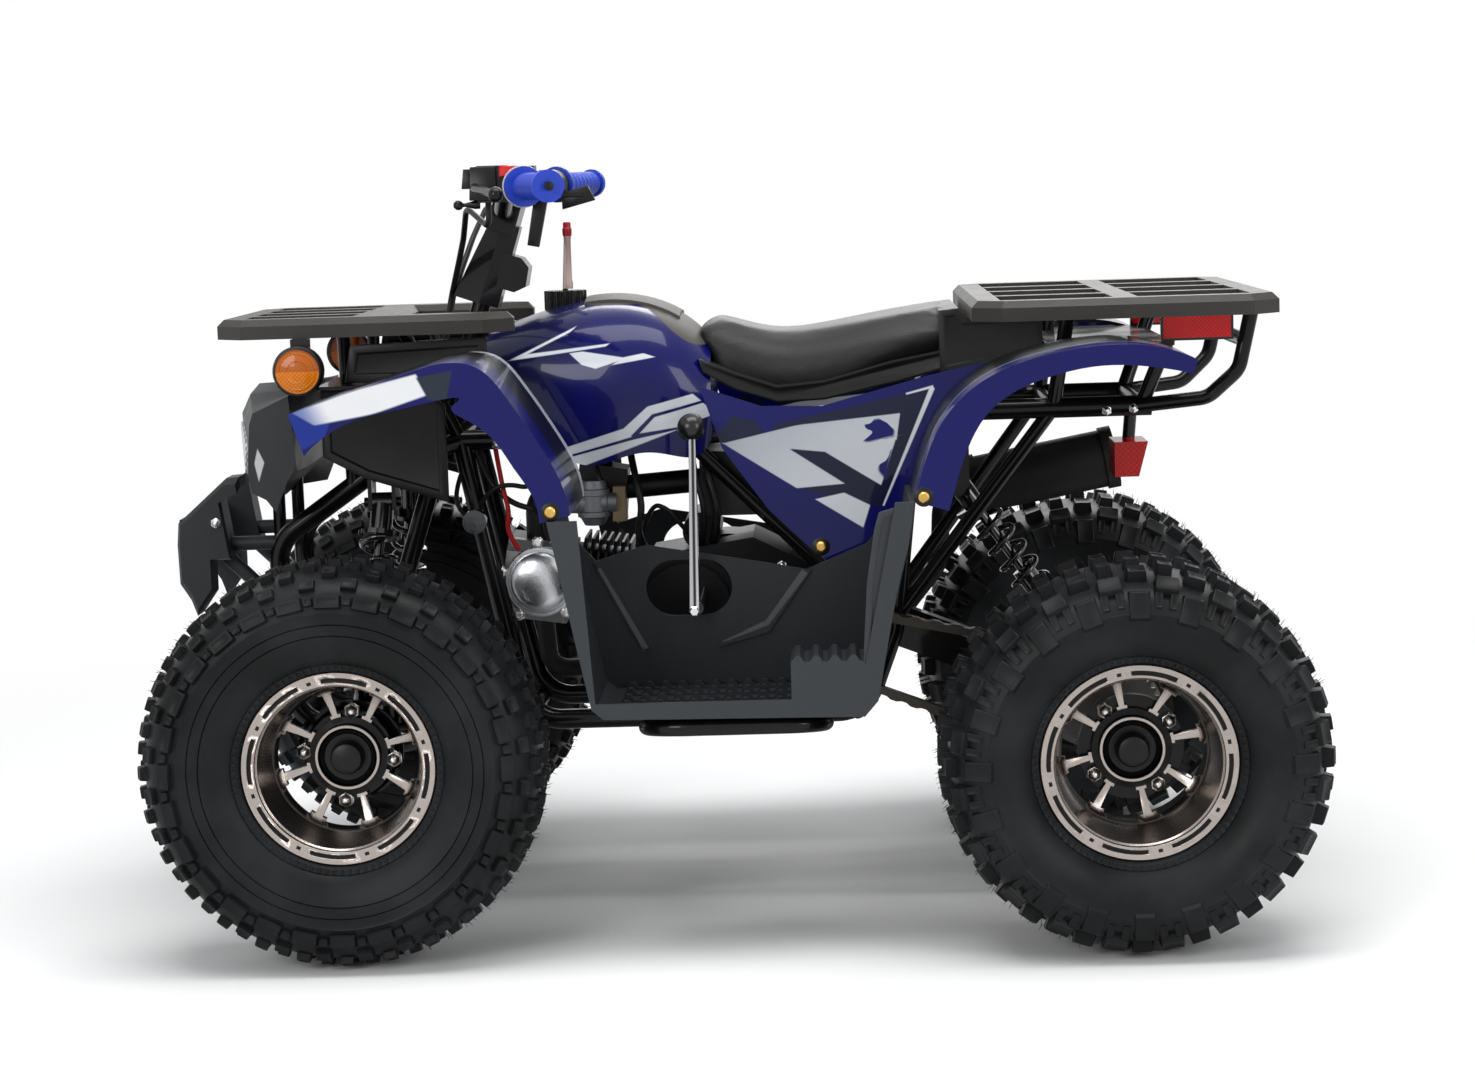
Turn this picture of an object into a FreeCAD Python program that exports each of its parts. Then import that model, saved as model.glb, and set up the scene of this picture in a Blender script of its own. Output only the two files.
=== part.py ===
"""Small utility quad bike with racks, as separate pieces with real joints.

Frame: millimetres, +Z up. The nose points along -X, the rider's left is -Y.
Origin: on the floor, under the centre of the bounding box.
"""
import FreeCAD, Part
import math
import os

doc = FreeCAD.newDocument("quad_bike")
sheet = doc.addObject("Spreadsheet::Sheet", "sizes")
V = FreeCAD.Vector

# Driving dimensions, in millimetres, degrees and counts
DIMENSIONS = {
    # Wheels and stance
    "wheelbase": 922, "front_track": 708, "rear_track": 721,
    "front_tyre_radius": 241, "front_tyre_width": 178,
    "rear_tyre_radius": 229, "rear_tyre_width": 241,
    "front_lug_height": 9, "rear_lug_height": 14, "shoulder_lug_drop": 4,
    "front_lug_count": 20, "rear_lug_count": 20,
    "bead_seat_radius": 101, "rim_flange_radius": 114, "rim_flange_wall": 7, "rim_wall": 6,
    "front_rim_width": 126, "rear_rim_width": 170, "disc_wall": 8,
    "front_dish_depth": 84, "rear_dish_depth": 96, "dish_lip_depth": 34,
    "hub_seat_radius": 62, "hub_boss_radius": 39, "hub_boss_height": 12, "hub_boss_wall": 9,
    "spoke_count": 8, "window_inner_radius": 50, "window_outer_radius": 84,
    "window_half_angle": 15,
    # Knuckles and drums
    "kingpin_half_span": 276, "kingpin_radius": 7, "kingpin_head": 6,
    "kingpin_sleeve_radius": 13, "kingpin_sleeve_length": 56,
    "yoke_wall": 9, "yoke_gap": 0.5, "yoke_setback": 3,
    "steer_arm_length": 46, "steer_arm_width": 20, "steer_arm_wall": 8, "stud_radius": 5,
    "stud_rise": 14, "spindle_radius": 10, "spindle_reach": 22, "running_gap": 0.1,
    "backplate_radius": 60, "backplate_wall": 5, "drum_radius": 56, "drum_wall": 24,
    "drum_gap": 5, "drum_lip": 4,
    # Lower arms and dampers
    "arm_tube_radius": 11, "arm_tube_drop": 8, "arm_pivot_spread": 70,
    "arm_pivot_half_span": 122, "arm_pivot_height": 222, "pivot_bolt_radius": 6,
    "arm_bush_radius": 15, "arm_bush_length": 34, "bolt_end": 8, "tab_wall": 5,
    "tab_gap": 0.3, "tab_width": 24, "arm_tab_height": 32, "arm_tab_drop": 14,
    "shock_foot_height": 256, "shock_tab_half_gap": 18, "shock_tab_height": 46,
    "shock_tab_drop": 34, "shock_shelf_wall": 8, "shock_shelf_drop": 30,
    "shock_top_height": 520, "shock_top_half_span": 122, "shock_foot_half_span": 214,
    "shock_lean": 24, "shock_tab_reach": 10, "shock_plate_height": 70,
    "spring_radius": 25, "spring_wire_radius": 4, "spring_turns": 7, "spring_seat_wall": 6,
    "spring_seat_rim": 2, "damper_radius": 14, "damper_rod_radius": 6.3,
    "shock_eye_radius": 12, "shock_eye_width": 24,
    # Steering column
    "stem_rake": 18, "stem_radius": 12, "stem_foot_height": 300, "stem_top_height": 862,
    "stem_setback": 159, "stem_reference_height": 805, "pitman_rise": 4,
    "pitman_stud_length": 70, "tie_eye_lift": 16, "tie_rod_radius": 6, "tie_eye_radius": 13,
    "tie_eye_bore_radius": 8.5, "tie_eye_height": 14,
    "clamp_length": 36, "clamp_half_width": 34, "clamp_height": 40, "clamp_drop": 16,
    "cowl_foot_height": 758, "cowl_top_height": 858, "cowl_foot_front": 35,
    "cowl_foot_rear": 23, "cowl_top_front": 16, "cowl_top_rear": 22,
    "cowl_foot_half_width": 36, "cowl_top_half_width": 30,
    "key_box_height": 44, "key_box_depth": 28, "key_box_half_width": 26, "key_box_foot": 782,
    # Handlebar and what it carries
    "bar_radius": 11, "bar_half_span": 350, "bar_height": 903, "bar_sweep": 82,
    "grip_inner_half_span": 232, "grip_sweep": 39, "bar_bend_half_span": 62,
    "bar_rise_half_span": 132, "bar_rise_setback": 12, "bar_dip": 4, "bar_seat": 12,
    "bar_bend_radius": 40,
    "grip_radius": 16, "grip_flange_radius": 24, "grip_flange_wall": 6, "grip_end_radius": 19,
    "grip_end_gap": 3, "grip_rib": 1.5, "grip_rib_count": 9,
    "control_clamp_radius": 20, "control_clamp_gap": 4, "control_clamp_length": 40,
    "control_box_length": 34, "control_box_width": 40, "control_box_height": 44,
    "control_box_drop": 18, "perch_radius": 18, "perch_offset": 60, "perch_half_width": 10,
    "perch_post_radius": 9, "perch_reach": 34, "perch_rise": 4, "perch_lean": 8,
    "neck_radius": 11, "collar_radius": 15, "lever_radius": 5, "lever_reach": 40,
    "lever_knee": 14, "lever_length": 100, "lever_drop": 8, "lever_ball_radius": 9,
    "lever_bend_radius": 30, "thumb_lever_length": 44, "thumb_lever_width": 22,
    "thumb_lever_wall": 5, "cable_radius": 3.5, "cable_clip_wall": 9, "cable_bend_radius": 30,
    # Frame
    "frame_tube_radius": 12.5, "light_tube_radius": 9, "cross_tube_radius": 10,
    "frame_bend_radius": 50, "lower_rail_half_span": 92, "lower_rail_height": 236,
    "nose_reach": 105, "nose_lean": 10, "nose_hoop_height": 470, "cradle_front_setback": 193,
    "cradle_rear_x": 160, "cradle_cross_x": 150, "cradle_lap": 8, "tower_setback": 15,
    "tower_half_span": 104, "tower_height": 560, "upper_rail_setback": 119,
    "upper_rail_height": 590, "upper_rail_half_span": 80, "upper_rail_bend_x": 60,
    "rear_rail_bend_x": 300, "rear_rail_height": 612, "rear_rail_half_span": 120,
    "rear_rail_reach": 53, "rail_joint_share": 0.7, "down_strut_x": -60,
    "strut_reach": 67, "pivot_lap": 8, "collar_height": 34, "head_collar_radius": 21,
    "head_collar_foot": 566, "head_stay_radius": 8, "stem_gap": 1, "hanger_width": 34,
    "hanger_height": 118, "hanger_foot": 496, "hanger_half_gap": 15, "hanger_setback": 20,
    "hanger_bar_setback": 4, "rear_cross_inset": 12,
    "peg_bar_front_x": -100, "peg_bar_length": 210, "peg_bar_half_span": 385,
    "peg_bar_height": 273,
    # Rear drive
    "swingarm_reach": 276, "pivot_height": 338, "pivot_radius": 16, "pivot_half_span": 70,
    "pivot_shaft_radius": 8, "pivot_shaft_half_span": 96, "arm_bar_height": 40,
    "arm_bar_width": 28, "arm_bar_half_span": 44, "carrier_radius": 36,
    "carrier_half_span": 62, "axle_radius": 15, "axle_end": 26, "hub_flange_radius": 62,
    "hub_flange_wall": 10, "hub_sleeve_radius": 24, "hub_sleeve_length": 60,
    "sprocket_radius": 62, "sprocket_wall": 7, "sprocket_teeth": 34, "tooth_height": 5,
    "sprocket_hub_radius": 26, "sprocket_hub_outer": 8, "sprocket_hub_inner": 22,
    "chain_offset": 113, "front_sprocket_radius": 28, "front_sprocket_x": 62,
    "front_sprocket_height": 348, "chain_height": 12, "chain_width": 14, "chain_gap": 1.5,
    "chain_waist": 2.5, "chain_pitch": 25.4, "brake_disc_radius": 84, "brake_disc_wall": 4,
    "brake_disc_offset": 96, "disc_hub_inner": 22, "disc_hub_outer": 6, "disc_hole_radius": 5,
    "disc_hole_ring": 62, "disc_hole_count": 8, "caliper_length": 62, "caliper_width": 44,
    "caliper_height": 46, "caliper_gap": 5,
    "rear_shock_top_setback": 181, "rear_shock_top_height": 512,
    "rear_shock_foot_setback": 37, "rear_shock_foot_height": 306, "shock_post_half_gap": 20,
    "shock_post_wall": 6,
    # Engine, intake and exhaust
    "crankcase_length": 250, "crankcase_height": 170, "crankcase_half_width": 92,
    "case_core_half_width": 72, "crank_x": -10, "crank_height": 372,
    "left_cover_radius": 66, "left_cover_setback": 50, "right_cover_radius": 78,
    "right_cover_rise": 4, "cover_step": 12, "cover_ring": 10, "cylinder_radius": 50,
    "cylinder_rise": 14, "cylinder_root": 20, "head_x": -250, "head_height": 406,
    "head_length": 84, "head_half_width": 62, "head_half_height": 50, "head_chamfer": 14,
    "valve_cover_radius": 33, "valve_cover_wall": 24, "valve_cover_lip": 4,
    "fin_count": 7, "fin_wall": 3, "fin_reach": 12, "output_shaft_radius": 12,
    "output_shaft_gap": 10, "front_sprocket_half_width": 3, "starter_radius": 24,
    "starter_length": 110, "starter_rise": 92, "starter_setback": 30,
    "pipe_radius": 15, "pipe_bend_radius": 30, "carb_x": -200, "carb_length": 70,
    "carb_foot": 480, "carb_height": 76, "carb_offset": 25, "carb_half_width": 33,
    "airbox_x": -40, "airbox_length": 190, "airbox_foot": 484, "airbox_height": 82,
    "airbox_half_width": 60, "header_radius": 12, "header_bend_radius": 40, "header_rise": 31,
    "muffler_radius": 38, "muffler_length": 200, "muffler_half_span": 165,
    "muffler_rise": 36, "muffler_setback": 163, "muffler_height": 488,
    "muffler_band": 3, "muffler_band_width": 16, "tailpipe_radius": 14, "tailpipe_length": 22,
    # Tank cover and seat
    "tank_front_x": -300, "tank_length": 280, "tank_height": 760, "tank_half_width": 158,
    "tank_pad_wall": 4, "tank_pad_half_width": 66, "tank_pad_front_x": -176,
    "tank_pad_length": 118, "cap_x": -205, "cap_radius": 25, "cap_height": 24,
    "cap_foot_height": 746, "vent_radius": 3.5, "vent_length": 84, "vent_lean": 5,
    "seat_front_x": -46, "seat_length": 336, "seat_height": 736, "seat_half_width": 132,
    "seat_gap": 0.3,
    # Fenders, side panels and footwells
    "panel_wall": 4, "fender_half_span": 400, "fender_inner_half_span": 168,
    "fender_flange": 46, "front_fender_reach": 41, "fender_peak_height": 708,
    "footwell_top_height": 526, "leg_foot_x": -177, "cowl_deck_wall": 4,
    "cowl_deck_height": 664, "cowl_deck_length": 120, "cowl_deck_reach": 45,
    "rear_leg_foot_x": 219, "rear_fender_reach": 78, "rear_peak_height": 703,
    "rear_deck_height": 690, "rear_deck_half_width": 210, "rear_deck_setback": 72,
    "rear_deck_reach": 73, "side_panel_half_span": 200, "side_panel_bulge": 14,
    "side_panel_tuck": 26, "side_panel_front_x": -32, "side_panel_length": 348,
    "side_panel_foot": 440, "side_panel_height": 236,
    "footwell_half_span": 405, "footwell_inner_half_span": 205, "footwell_front_x": -212,
    "footwell_length": 431, "footwell_foot": 276, "footwell_height": 255,
    "footwell_lip_wall": 6, "footwell_hole_radius": 34, "footwell_hole_half_run": 18,
    "footwell_hole_x": -51, "footwell_hole_height": 414, "footwell_rib": 4,
    "step_x": 72, "step_length": 86, "step_foot": 286, "step_height": 70, "step_depth": 90,
    "tread_height": 7, "tread_foot": 288, "tread_x": -130, "tread_length": 200,
    "tread_pitch": 20, "tread_width": 12, "tread_inset": 10,
    # Racks
    "rack_height": 752, "rack_wall": 24, "rack_chamfer": 8, "rack_rim_width": 34,
    "rack_bar_width": 26, "rack_slot_rows": 4, "front_rack_reach": 167,
    "front_rack_length": 364, "front_rack_half_width": 180, "rack_notch_half_width": 128,
    "rack_notch_depth": 150, "rear_rack_setback": 171, "rear_rack_length": 362,
    "rear_rack_half_width": 295, "rack_leg_radius": 8, "rack_leg_half_span": 130,
    "rear_rack_leg_half_span": 150, "rack_leg_setback": 15, "rack_leg_lap": 30,
    "rack_leg_run": 64, "rear_leg_run": 20, "rear_leg_reach": 50,
    # Nose, bumper and grab loop
    "mask_half_span": 200, "mask_mid_half_span": 100, "mask_reach": 157, "mask_length": 100,
    "mask_foot": 515, "mask_height": 153, "headlight_wall": 3, "mask_stay_half_span": 70,
    "mask_stay_height": 90,
    "bumper_half_span": 124, "bumper_plate_width": 46, "bumper_bevel": 6, "bumper_reach": 237,
    "bumper_length": 84, "bumper_foot": 383, "bumper_height": 173, "bumper_stay_drop": 90, "bumper_stay_radius": 9, "bumper_stay_half_span": 92,
    "loop_radius": 9, "loop_bend_radius": 30, "loop_foot_half_span": 128,
    "loop_half_span": 150, "loop_start_reach": 33, "loop_knee_reach": 120,
    "loop_reach": 173, "loop_rise": 114, "loop_bar_rise": 78, "loop_corner_rise": 43,
    # Lamps and small pieces
    "reflector_radius": 28, "reflector_wall": 18, "reflector_half_span": 200,
    "reflector_reach": 59, "reflector_height": 690, "reflector_bracket": 20,
    "reflector_bracket_depth": 28, "red_half_span": 182, "red_wall": 8, "red_length": 87,
    "red_height": 32, "red_setback": 59, "tail_half_width": 40, "tail_length": 42,
    "tail_height": 44, "tail_foot": 516, "tail_setback": 15, "tail_slope": 12,
    "tail_stem_radius": 8, "shift_x": -41, "shift_height": 392, "shift_half_span": 231,
    "shift_rod_radius": 4.5, "shift_shaft_radius": 8, "shift_length": 218, "knob_radius": 17,
    "shift_foot": 4, "horn_radius": 15, "horn_setback": 135, "horn_height": 490,
    "horn_half_span": 112, "horn_depth": 36, "overrun": 2,
}
for row, (alias, value) in enumerate(DIMENSIONS.items(), start=1):
    sheet.set(f"A{row}", alias)
    sheet.set(f"B{row}", str(value))
    sheet.setAlias(f"B{row}", alias)
doc.recompute()


class Sizes:
    """Reads a driving dimension back from the sheet by its alias."""

    def __getattr__(self, alias):
        return float(sheet.get(alias))


size = Sizes()
pieces = []

# Places that follow from the driving dimensions
FULL_TURN = 360
AXLE_SHIFT = (size.front_tyre_radius - size.rear_tyre_radius) / 2
FRONT_X = AXLE_SHIFT - size.wheelbase / 2
REAR_X = AXLE_SHIFT + size.wheelbase / 2
FRONT_Z = size.front_tyre_radius
REAR_Z = size.rear_tyre_radius
FRONT_Y = size.front_track / 2
REAR_Y = size.rear_track / 2
LEFT, RIGHT = -1, 1
SIDES = {"left": LEFT, "right": RIGHT}
UP, BACK, ACROSS = V(0, 0, 1), V(1, 0, 0), V(0, 1, 0)


def keep(piece, label):
    """Register a finished object as a node under its label."""
    piece.Label = label
    pieces.append(piece)
    return piece


def feature(shape, label):
    """A node whose form comes from a shape made in code."""
    piece = doc.addObject("Part::Feature", label)
    piece.Shape = shape
    return keep(piece, label)


def mirror_of(source, label):
    """The same piece on the other side of the bike."""
    piece = doc.addObject("Part::Mirroring", label)
    piece.Source = source
    piece.Normal = ACROSS
    return keep(piece, label)


def plane_of(body, role):
    return next(item for item in body.Origin.OriginFeatures if item.Role == role)


def new_sketch(body, role, name, offset=None):
    """A sketch on one of the body's own origin planes, shifted along its normal."""
    sketch = body.newObject("Sketcher::SketchObject", name)
    sketch.AttachmentSupport = [(plane_of(body, role), "")]
    sketch.MapMode = "FlatFace"
    if offset is not None:
        sketch.setExpression(".AttachmentOffset.Base.z", offset)
    return sketch


def add_outline(sketch, points):
    """A closed outline of straight runs between flat points."""
    corners = [V(a, b, 0) for a, b in points]
    for start, end in zip(corners, corners[1:] + corners[:1]):
        sketch.addGeometry(Part.LineSegment(start, end), False)


def revolve(body, sketch, name):
    turned = body.newObject("PartDesign::Revolution", name)
    turned.Profile = sketch
    turned.ReferenceAxis = (sketch, ["V_Axis"])
    turned.Angle = FULL_TURN
    return turned


def pad(body, sketch, name, length):
    solid = body.newObject("PartDesign::Pad", name)
    solid.Profile = sketch
    solid.setExpression("Length", length)
    return solid


def pocket_through(body, sketch, name):
    cut = body.newObject("PartDesign::Pocket", name)
    cut.Profile = sketch
    cut.Type = 1
    cut.Midplane = True
    return cut


def polar(body, feature_to_copy, axis_sketch, name, count):
    pattern = body.newObject("PartDesign::PolarPattern", name)
    pattern.Originals = [feature_to_copy]
    pattern.Axis = (axis_sketch, ["V_Axis"])
    pattern.Angle = FULL_TURN
    pattern.setExpression("Occurrences", count)
    body.Tip = pattern
    return pattern


def turned_body(label, points, place):
    """A body turned about its own Y axis from points of (radius, place along the axis)."""
    body = doc.addObject("PartDesign::Body", label)
    profile = new_sketch(body, "XY_Plane", label + "_profile")
    add_outline(profile, points)
    revolve(body, profile, label + "_turned")
    body.Placement = place
    doc.recompute()
    return body, profile


def wheel_place(prefix):
    if prefix == "front":
        return FreeCAD.Placement(V(FRONT_X, -FRONT_Y, FRONT_Z), FreeCAD.Rotation())
    return FreeCAD.Placement(V(REAR_X, -REAR_Y, REAR_Z), FreeCAD.Rotation())


def tube(points, radius, bend):
    """A round bar along straight runs that are joined by tangent arcs."""
    stops = [V(*point) for point in points]
    reach_share = 0.45
    edges = []
    start = stops[0]
    for before, corner, after in zip(stops, stops[1:], stops[2:]):
        way_in = (corner - before).normalize()
        way_out = (after - corner).normalize()
        turn = way_in.getAngle(way_out)
        reach = reach_share * min((corner - before).Length, (after - corner).Length)
        arc_radius = min(bend, reach / math.tan(turn / 2))
        reach = arc_radius * math.tan(turn / 2)
        first = corner - way_in * reach
        last = corner + way_out * reach
        inward = (way_out - way_in).normalize()
        middle = corner + inward * (arc_radius / math.cos(turn / 2) - arc_radius)
        edges.append(Part.LineSegment(start, first).toShape())
        edges.append(Part.Arc(first, middle, last).toShape())
        start = last
    edges.append(Part.LineSegment(start, stops[-1]).toShape())
    section = Part.Wire(Part.Circle(stops[0], stops[1] - stops[0], radius).toShape())
    return Part.Wire(edges).makePipeShell([section], True, True)


def rod(start, end, radius):
    """A straight round bar between two points."""
    way = V(*end) - V(*start)
    return Part.makeCylinder(radius, way.Length, V(*start), way)


def slab(points, low, high, axis="y"):
    """A flat outline in the plane across one axis, thickened along that axis."""
    low, high = sorted((low, high))
    places = {"y": lambda a, b: V(a, low, b), "z": lambda a, b: V(a, b, low), "x": lambda a, b: V(low, a, b)}
    ways = {"y": ACROSS, "z": UP, "x": BACK}
    corners = [places[axis](a, b) for a, b in points]
    return Part.Face(Part.makePolygon(corners + corners[:1])).extrude(ways[axis] * (high - low))


def block(low, high):
    """A box between two opposite corners given in any order."""
    corner = V(*(min(a, b) for a, b in zip(low, high)))
    return Part.makeBox(*(abs(a - b) for a, b in zip(low, high)), corner)


def spread(shares, start, base, length, height):
    """Outline points from shares of a piece's own length and height."""
    return [(start + a * length, base + b * height) for a, b in shares]


def joined(shapes):
    """Several shapes as one, with the seams between them cleaned away."""
    first, *rest = shapes
    return first.multiFuse(rest).removeSplitter() if rest else first


def minus(shape, *others):
    for other in others:
        shape = shape.cut(other)
    return shape


def main_solid(shape):
    return max(shape.Solids, key=lambda solid: solid.Volume)


def mirrored(shape):
    return shape.mirror(V(0, 0, 0), ACROSS)


def pair(shape):
    """The left piece and its mirror image as two solids of one node."""
    return Part.makeCompound([shape, mirrored(shape)])


# Wheels
LUG_SHARES = {
    "front": [(0.0, 0.05, 0.46, 0.30, 0.10), (0.5, 0.50, 0.90, 0.26, -0.12)],
    "rear": [(0.0, 0.04, 0.54, 0.24, 0.26), (0.5, 0.50, 0.95, 0.27, -0.10)],
}
CARCASS_SHARES = [(0.10, 0.80), (0.46, 1.0), (0.78, 0.94), (1.0, 0.62)]
LUG_ROOT_SHARES = (0.10, 0.34)


def tyre(label, prefix):
    """Carcass turned about the axle, with staggered lugs patterned round crown and shoulders."""
    radius, width = getattr(size, f"{prefix}_tyre_radius"), getattr(size, f"{prefix}_tyre_width")
    lug, rim_width = getattr(size, f"{prefix}_lug_height"), getattr(size, f"{prefix}_rim_width")
    half, crown = width / 2, radius - lug
    bead = rim_width / 2 - size.rim_flange_wall
    depth = crown - size.rim_flange_radius
    side = [(size.rim_flange_radius + rise * depth, reach * half) for rise, reach in CARCASS_SHARES]
    half_profile = [(size.bead_seat_radius, bead), (size.rim_flange_radius, bead)] + side
    points = half_profile + [(r, -o) for r, o in reversed(half_profile)]
    body, profile = turned_body(label, points, wheel_place(prefix))
    count = getattr(size, f"{prefix}_lug_count")
    pitch = 2 * math.pi * radius / count
    for number, (phase, low, high, length, skew) in enumerate(LUG_SHARES[prefix]):
        base = crown - LUG_ROOT_SHARES[number] * depth
        rise = (f"sizes.{prefix}_lug_height - {number} * sizes.shoulder_lug_drop + {LUG_ROOT_SHARES[number]}"
                f" * (sizes.{prefix}_tyre_radius - sizes.{prefix}_lug_height - sizes.rim_flange_radius)")
        for sign in (LEFT, RIGHT):
            name = f"{label}_lug_{number}_{'left' if sign == LEFT else 'right'}"
            sketch = new_sketch(body, "YZ_Plane", name + "_foot")
            tilt = FreeCAD.Rotation(BACK, phase * FULL_TURN / count)
            sketch.AttachmentOffset = FreeCAD.Placement(tilt.multVec(UP * base), tilt)
            reach, slant = pitch * length, pitch * skew
            corners = [(low * half, slant - reach), (high * half, -reach),
                       (high * half, reach), (low * half, slant + reach)]
            add_outline(sketch, [(sign * across, along) for across, along in corners])
            lug_pad = pad(body, sketch, name + "_pad", rise)
            polar(body, lug_pad, profile, name + "_ring", f"sizes.{prefix}_lug_count")
    return keep(body, label)


WINDOW_NARROW_SHARE = 0.62


def rim(label, prefix):
    """Turned barrel and dished disc with a raised hub ring and a ring of spoke windows."""
    half = getattr(size, f"{prefix}_rim_width") / 2
    dish = half - getattr(size, f"{prefix}_dish_depth")
    lip = half - size.dish_lip_depth
    wall, flange = size.disc_wall, size.rim_flange_wall
    outer, inner = size.bead_seat_radius, size.bead_seat_radius - size.rim_wall
    bore = size.spindle_radius + size.running_gap if prefix == "front" else size.axle_radius
    ring = size.hub_boss_radius - size.hub_boss_wall
    rise = dish + size.hub_boss_height
    points = [
        (bore, -dish), (ring, -dish), (ring, -rise), (size.hub_boss_radius, -rise),
        (size.hub_boss_radius, -dish), (size.hub_seat_radius, -dish), (inner, -lip),
        (inner, -half), (size.rim_flange_radius, -half), (size.rim_flange_radius, flange - half),
        (outer, flange - half), (outer, half - flange), (size.rim_flange_radius, half - flange),
        (size.rim_flange_radius, half), (inner, half), (inner, wall - lip),
        (size.hub_seat_radius, wall - dish), (bore, wall - dish)]
    body, profile = turned_body(label, points, wheel_place(prefix))
    windows = new_sketch(body, "XZ_Plane", label + "_window")
    low, high = size.window_inner_radius, size.window_outer_radius
    wide = math.radians(size.window_half_angle)
    narrow = wide * WINDOW_NARROW_SHARE
    turn = math.pi / size.spoke_count
    corners = [(low, turn - narrow), (high, turn - wide), (high, turn + wide), (low, turn + narrow)]
    add_outline(windows, [(r * math.cos(a), r * math.sin(a)) for r, a in corners])
    cut = pocket_through(body, windows, label + "_cut")
    polar(body, cut, profile, label + "_windows", "sizes.spoke_count")
    return keep(body, label)


for prefix in ("front", "rear"):
    mirror_of(tyre(f"tyre_{prefix}_left", prefix), f"tyre_{prefix}_right")
    mirror_of(rim(f"rim_{prefix}_left", prefix), f"rim_{prefix}_right")

# Knuckles
DISH_FRONT_Y = FRONT_Y + size.front_rim_width / 2 - size.front_dish_depth
BACKPLATE_Y = DISH_FRONT_Y - size.disc_wall - size.drum_wall - size.drum_gap
KING = V(FRONT_X, -size.kingpin_half_span, FRONT_Z)
SLEEVE_HALF = size.kingpin_sleeve_length / 2
YOKE_HALF = SLEEVE_HALF + size.yoke_gap
STEER_ARM_X = FRONT_X + size.steer_arm_length


def knuckle():
    """Yoke round the arm's sleeve, spindle, brake backing plate and steering arm."""
    reach = size.kingpin_sleeve_radius
    back = KING.y - reach - size.yoke_setback
    far = back - size.yoke_wall
    top = YOKE_HALF + size.yoke_wall
    parts = []
    for low, high in ((YOKE_HALF, top), (-top, -YOKE_HALF)):
        parts.append(rod(KING + UP * low, KING + UP * high, reach))
        parts.append(block((KING.x - reach, KING.y, KING.z + low), (KING.x + reach, far, KING.z + high)))
    pin_end = UP * (top + size.kingpin_head)
    parts.append(rod(KING - pin_end, KING + pin_end, size.kingpin_radius))
    parts.append(block((KING.x - reach, back, KING.z - top), (KING.x + reach, far, KING.z + top)))
    plate = V(KING.x, -BACKPLATE_Y, KING.z)
    parts.append(rod(plate + ACROSS * size.backplate_wall, plate, size.backplate_radius))
    parts.append(rod((KING.x, back, KING.z), (KING.x, -DISH_FRONT_Y - size.spindle_reach, KING.z),
                     size.spindle_radius))
    half = size.steer_arm_width / 2
    foot = V(STEER_ARM_X, KING.y, KING.z + YOKE_HALF)
    arm = block((KING.x, KING.y - half, foot.z), (foot.x, KING.y + half, foot.z + size.steer_arm_wall))
    boss = rod(foot, foot + UP * size.steer_arm_wall, half)
    stud = rod(foot, foot + UP * (size.tie_eye_height + size.stud_rise), size.stud_radius)
    return joined(parts + [arm, boss, stud])


mirror_of(feature(knuckle(), "knuckle_left"), "knuckle_right")

# Brake drums turn with the front wheels
drum_bore = size.spindle_radius + size.running_gap
drum_points = [
    (drum_bore, 0), (size.drum_radius, 0), (size.drum_radius, -size.drum_lip),
    (size.drum_radius - size.drum_lip, -2 * size.drum_lip),
    (size.drum_radius - size.drum_lip, -size.drum_wall), (drum_bore, -size.drum_wall)]
drum_place = FreeCAD.Placement(V(FRONT_X, -BACKPLATE_Y - size.drum_gap, FRONT_Z), FreeCAD.Rotation())
drum, _ = turned_body("front_hub_left", drum_points, drum_place)
mirror_of(keep(drum, "front_hub_left"), "front_hub_right")


def bush_places():
    """Where the lower arm's two bushes sit on the left of the frame."""
    return [V(FRONT_X + way * size.arm_pivot_spread, -size.arm_pivot_half_span, size.arm_pivot_height)
            for way in (-1, 1)]


def control_arm():
    """A-shaped lower arm from two frame bushes to the kingpin sleeve, with the damper's fork."""
    parts = [rod(KING - UP * SLEEVE_HALF, KING + UP * SLEEVE_HALF, size.kingpin_sleeve_radius)]
    bush = BACK * (size.arm_bush_length / 2)
    for place in bush_places():
        parts.append(rod(place, KING - UP * size.arm_tube_drop, size.arm_tube_radius))
        parts.append(rod(place - bush, place + bush, size.arm_bush_radius))
    foot = V(FRONT_X, -size.shock_foot_half_span, size.shock_foot_height)
    half = size.tab_width / 2
    low = foot.z - size.shock_tab_drop
    for way in (-1, 1):
        inner = foot.x + way * (size.shock_tab_half_gap - size.tab_wall / 2)
        parts.append(block((inner, foot.y - half, low),
                           (inner + way * size.tab_wall, foot.y + half, low + size.shock_tab_height)))
    gap = size.shock_tab_half_gap
    shelf = foot.z - size.shock_shelf_drop
    parts.append(block((foot.x - gap, foot.y - half, shelf),
                       (foot.x + gap, foot.y + half, shelf + size.shock_shelf_wall)))
    reach = BACK * (gap + size.tab_wall)
    parts.append(rod(foot - reach, foot + reach, size.pivot_bolt_radius))
    arm = joined(parts)
    bore = BACK * (size.arm_bush_length + size.overrun)
    for place in bush_places():
        arm = arm.cut(rod(place - bore, place + bore, size.pivot_bolt_radius + size.running_gap))
    pin = UP * (2 * SLEEVE_HALF)
    return arm.cut(rod(KING - pin, KING + pin, size.kingpin_radius + size.running_gap))


BODY_SHARE, SEAT_LOW_SHARE, SEAT_HIGH_SHARE = 0.45, 0.14, 0.84


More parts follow.
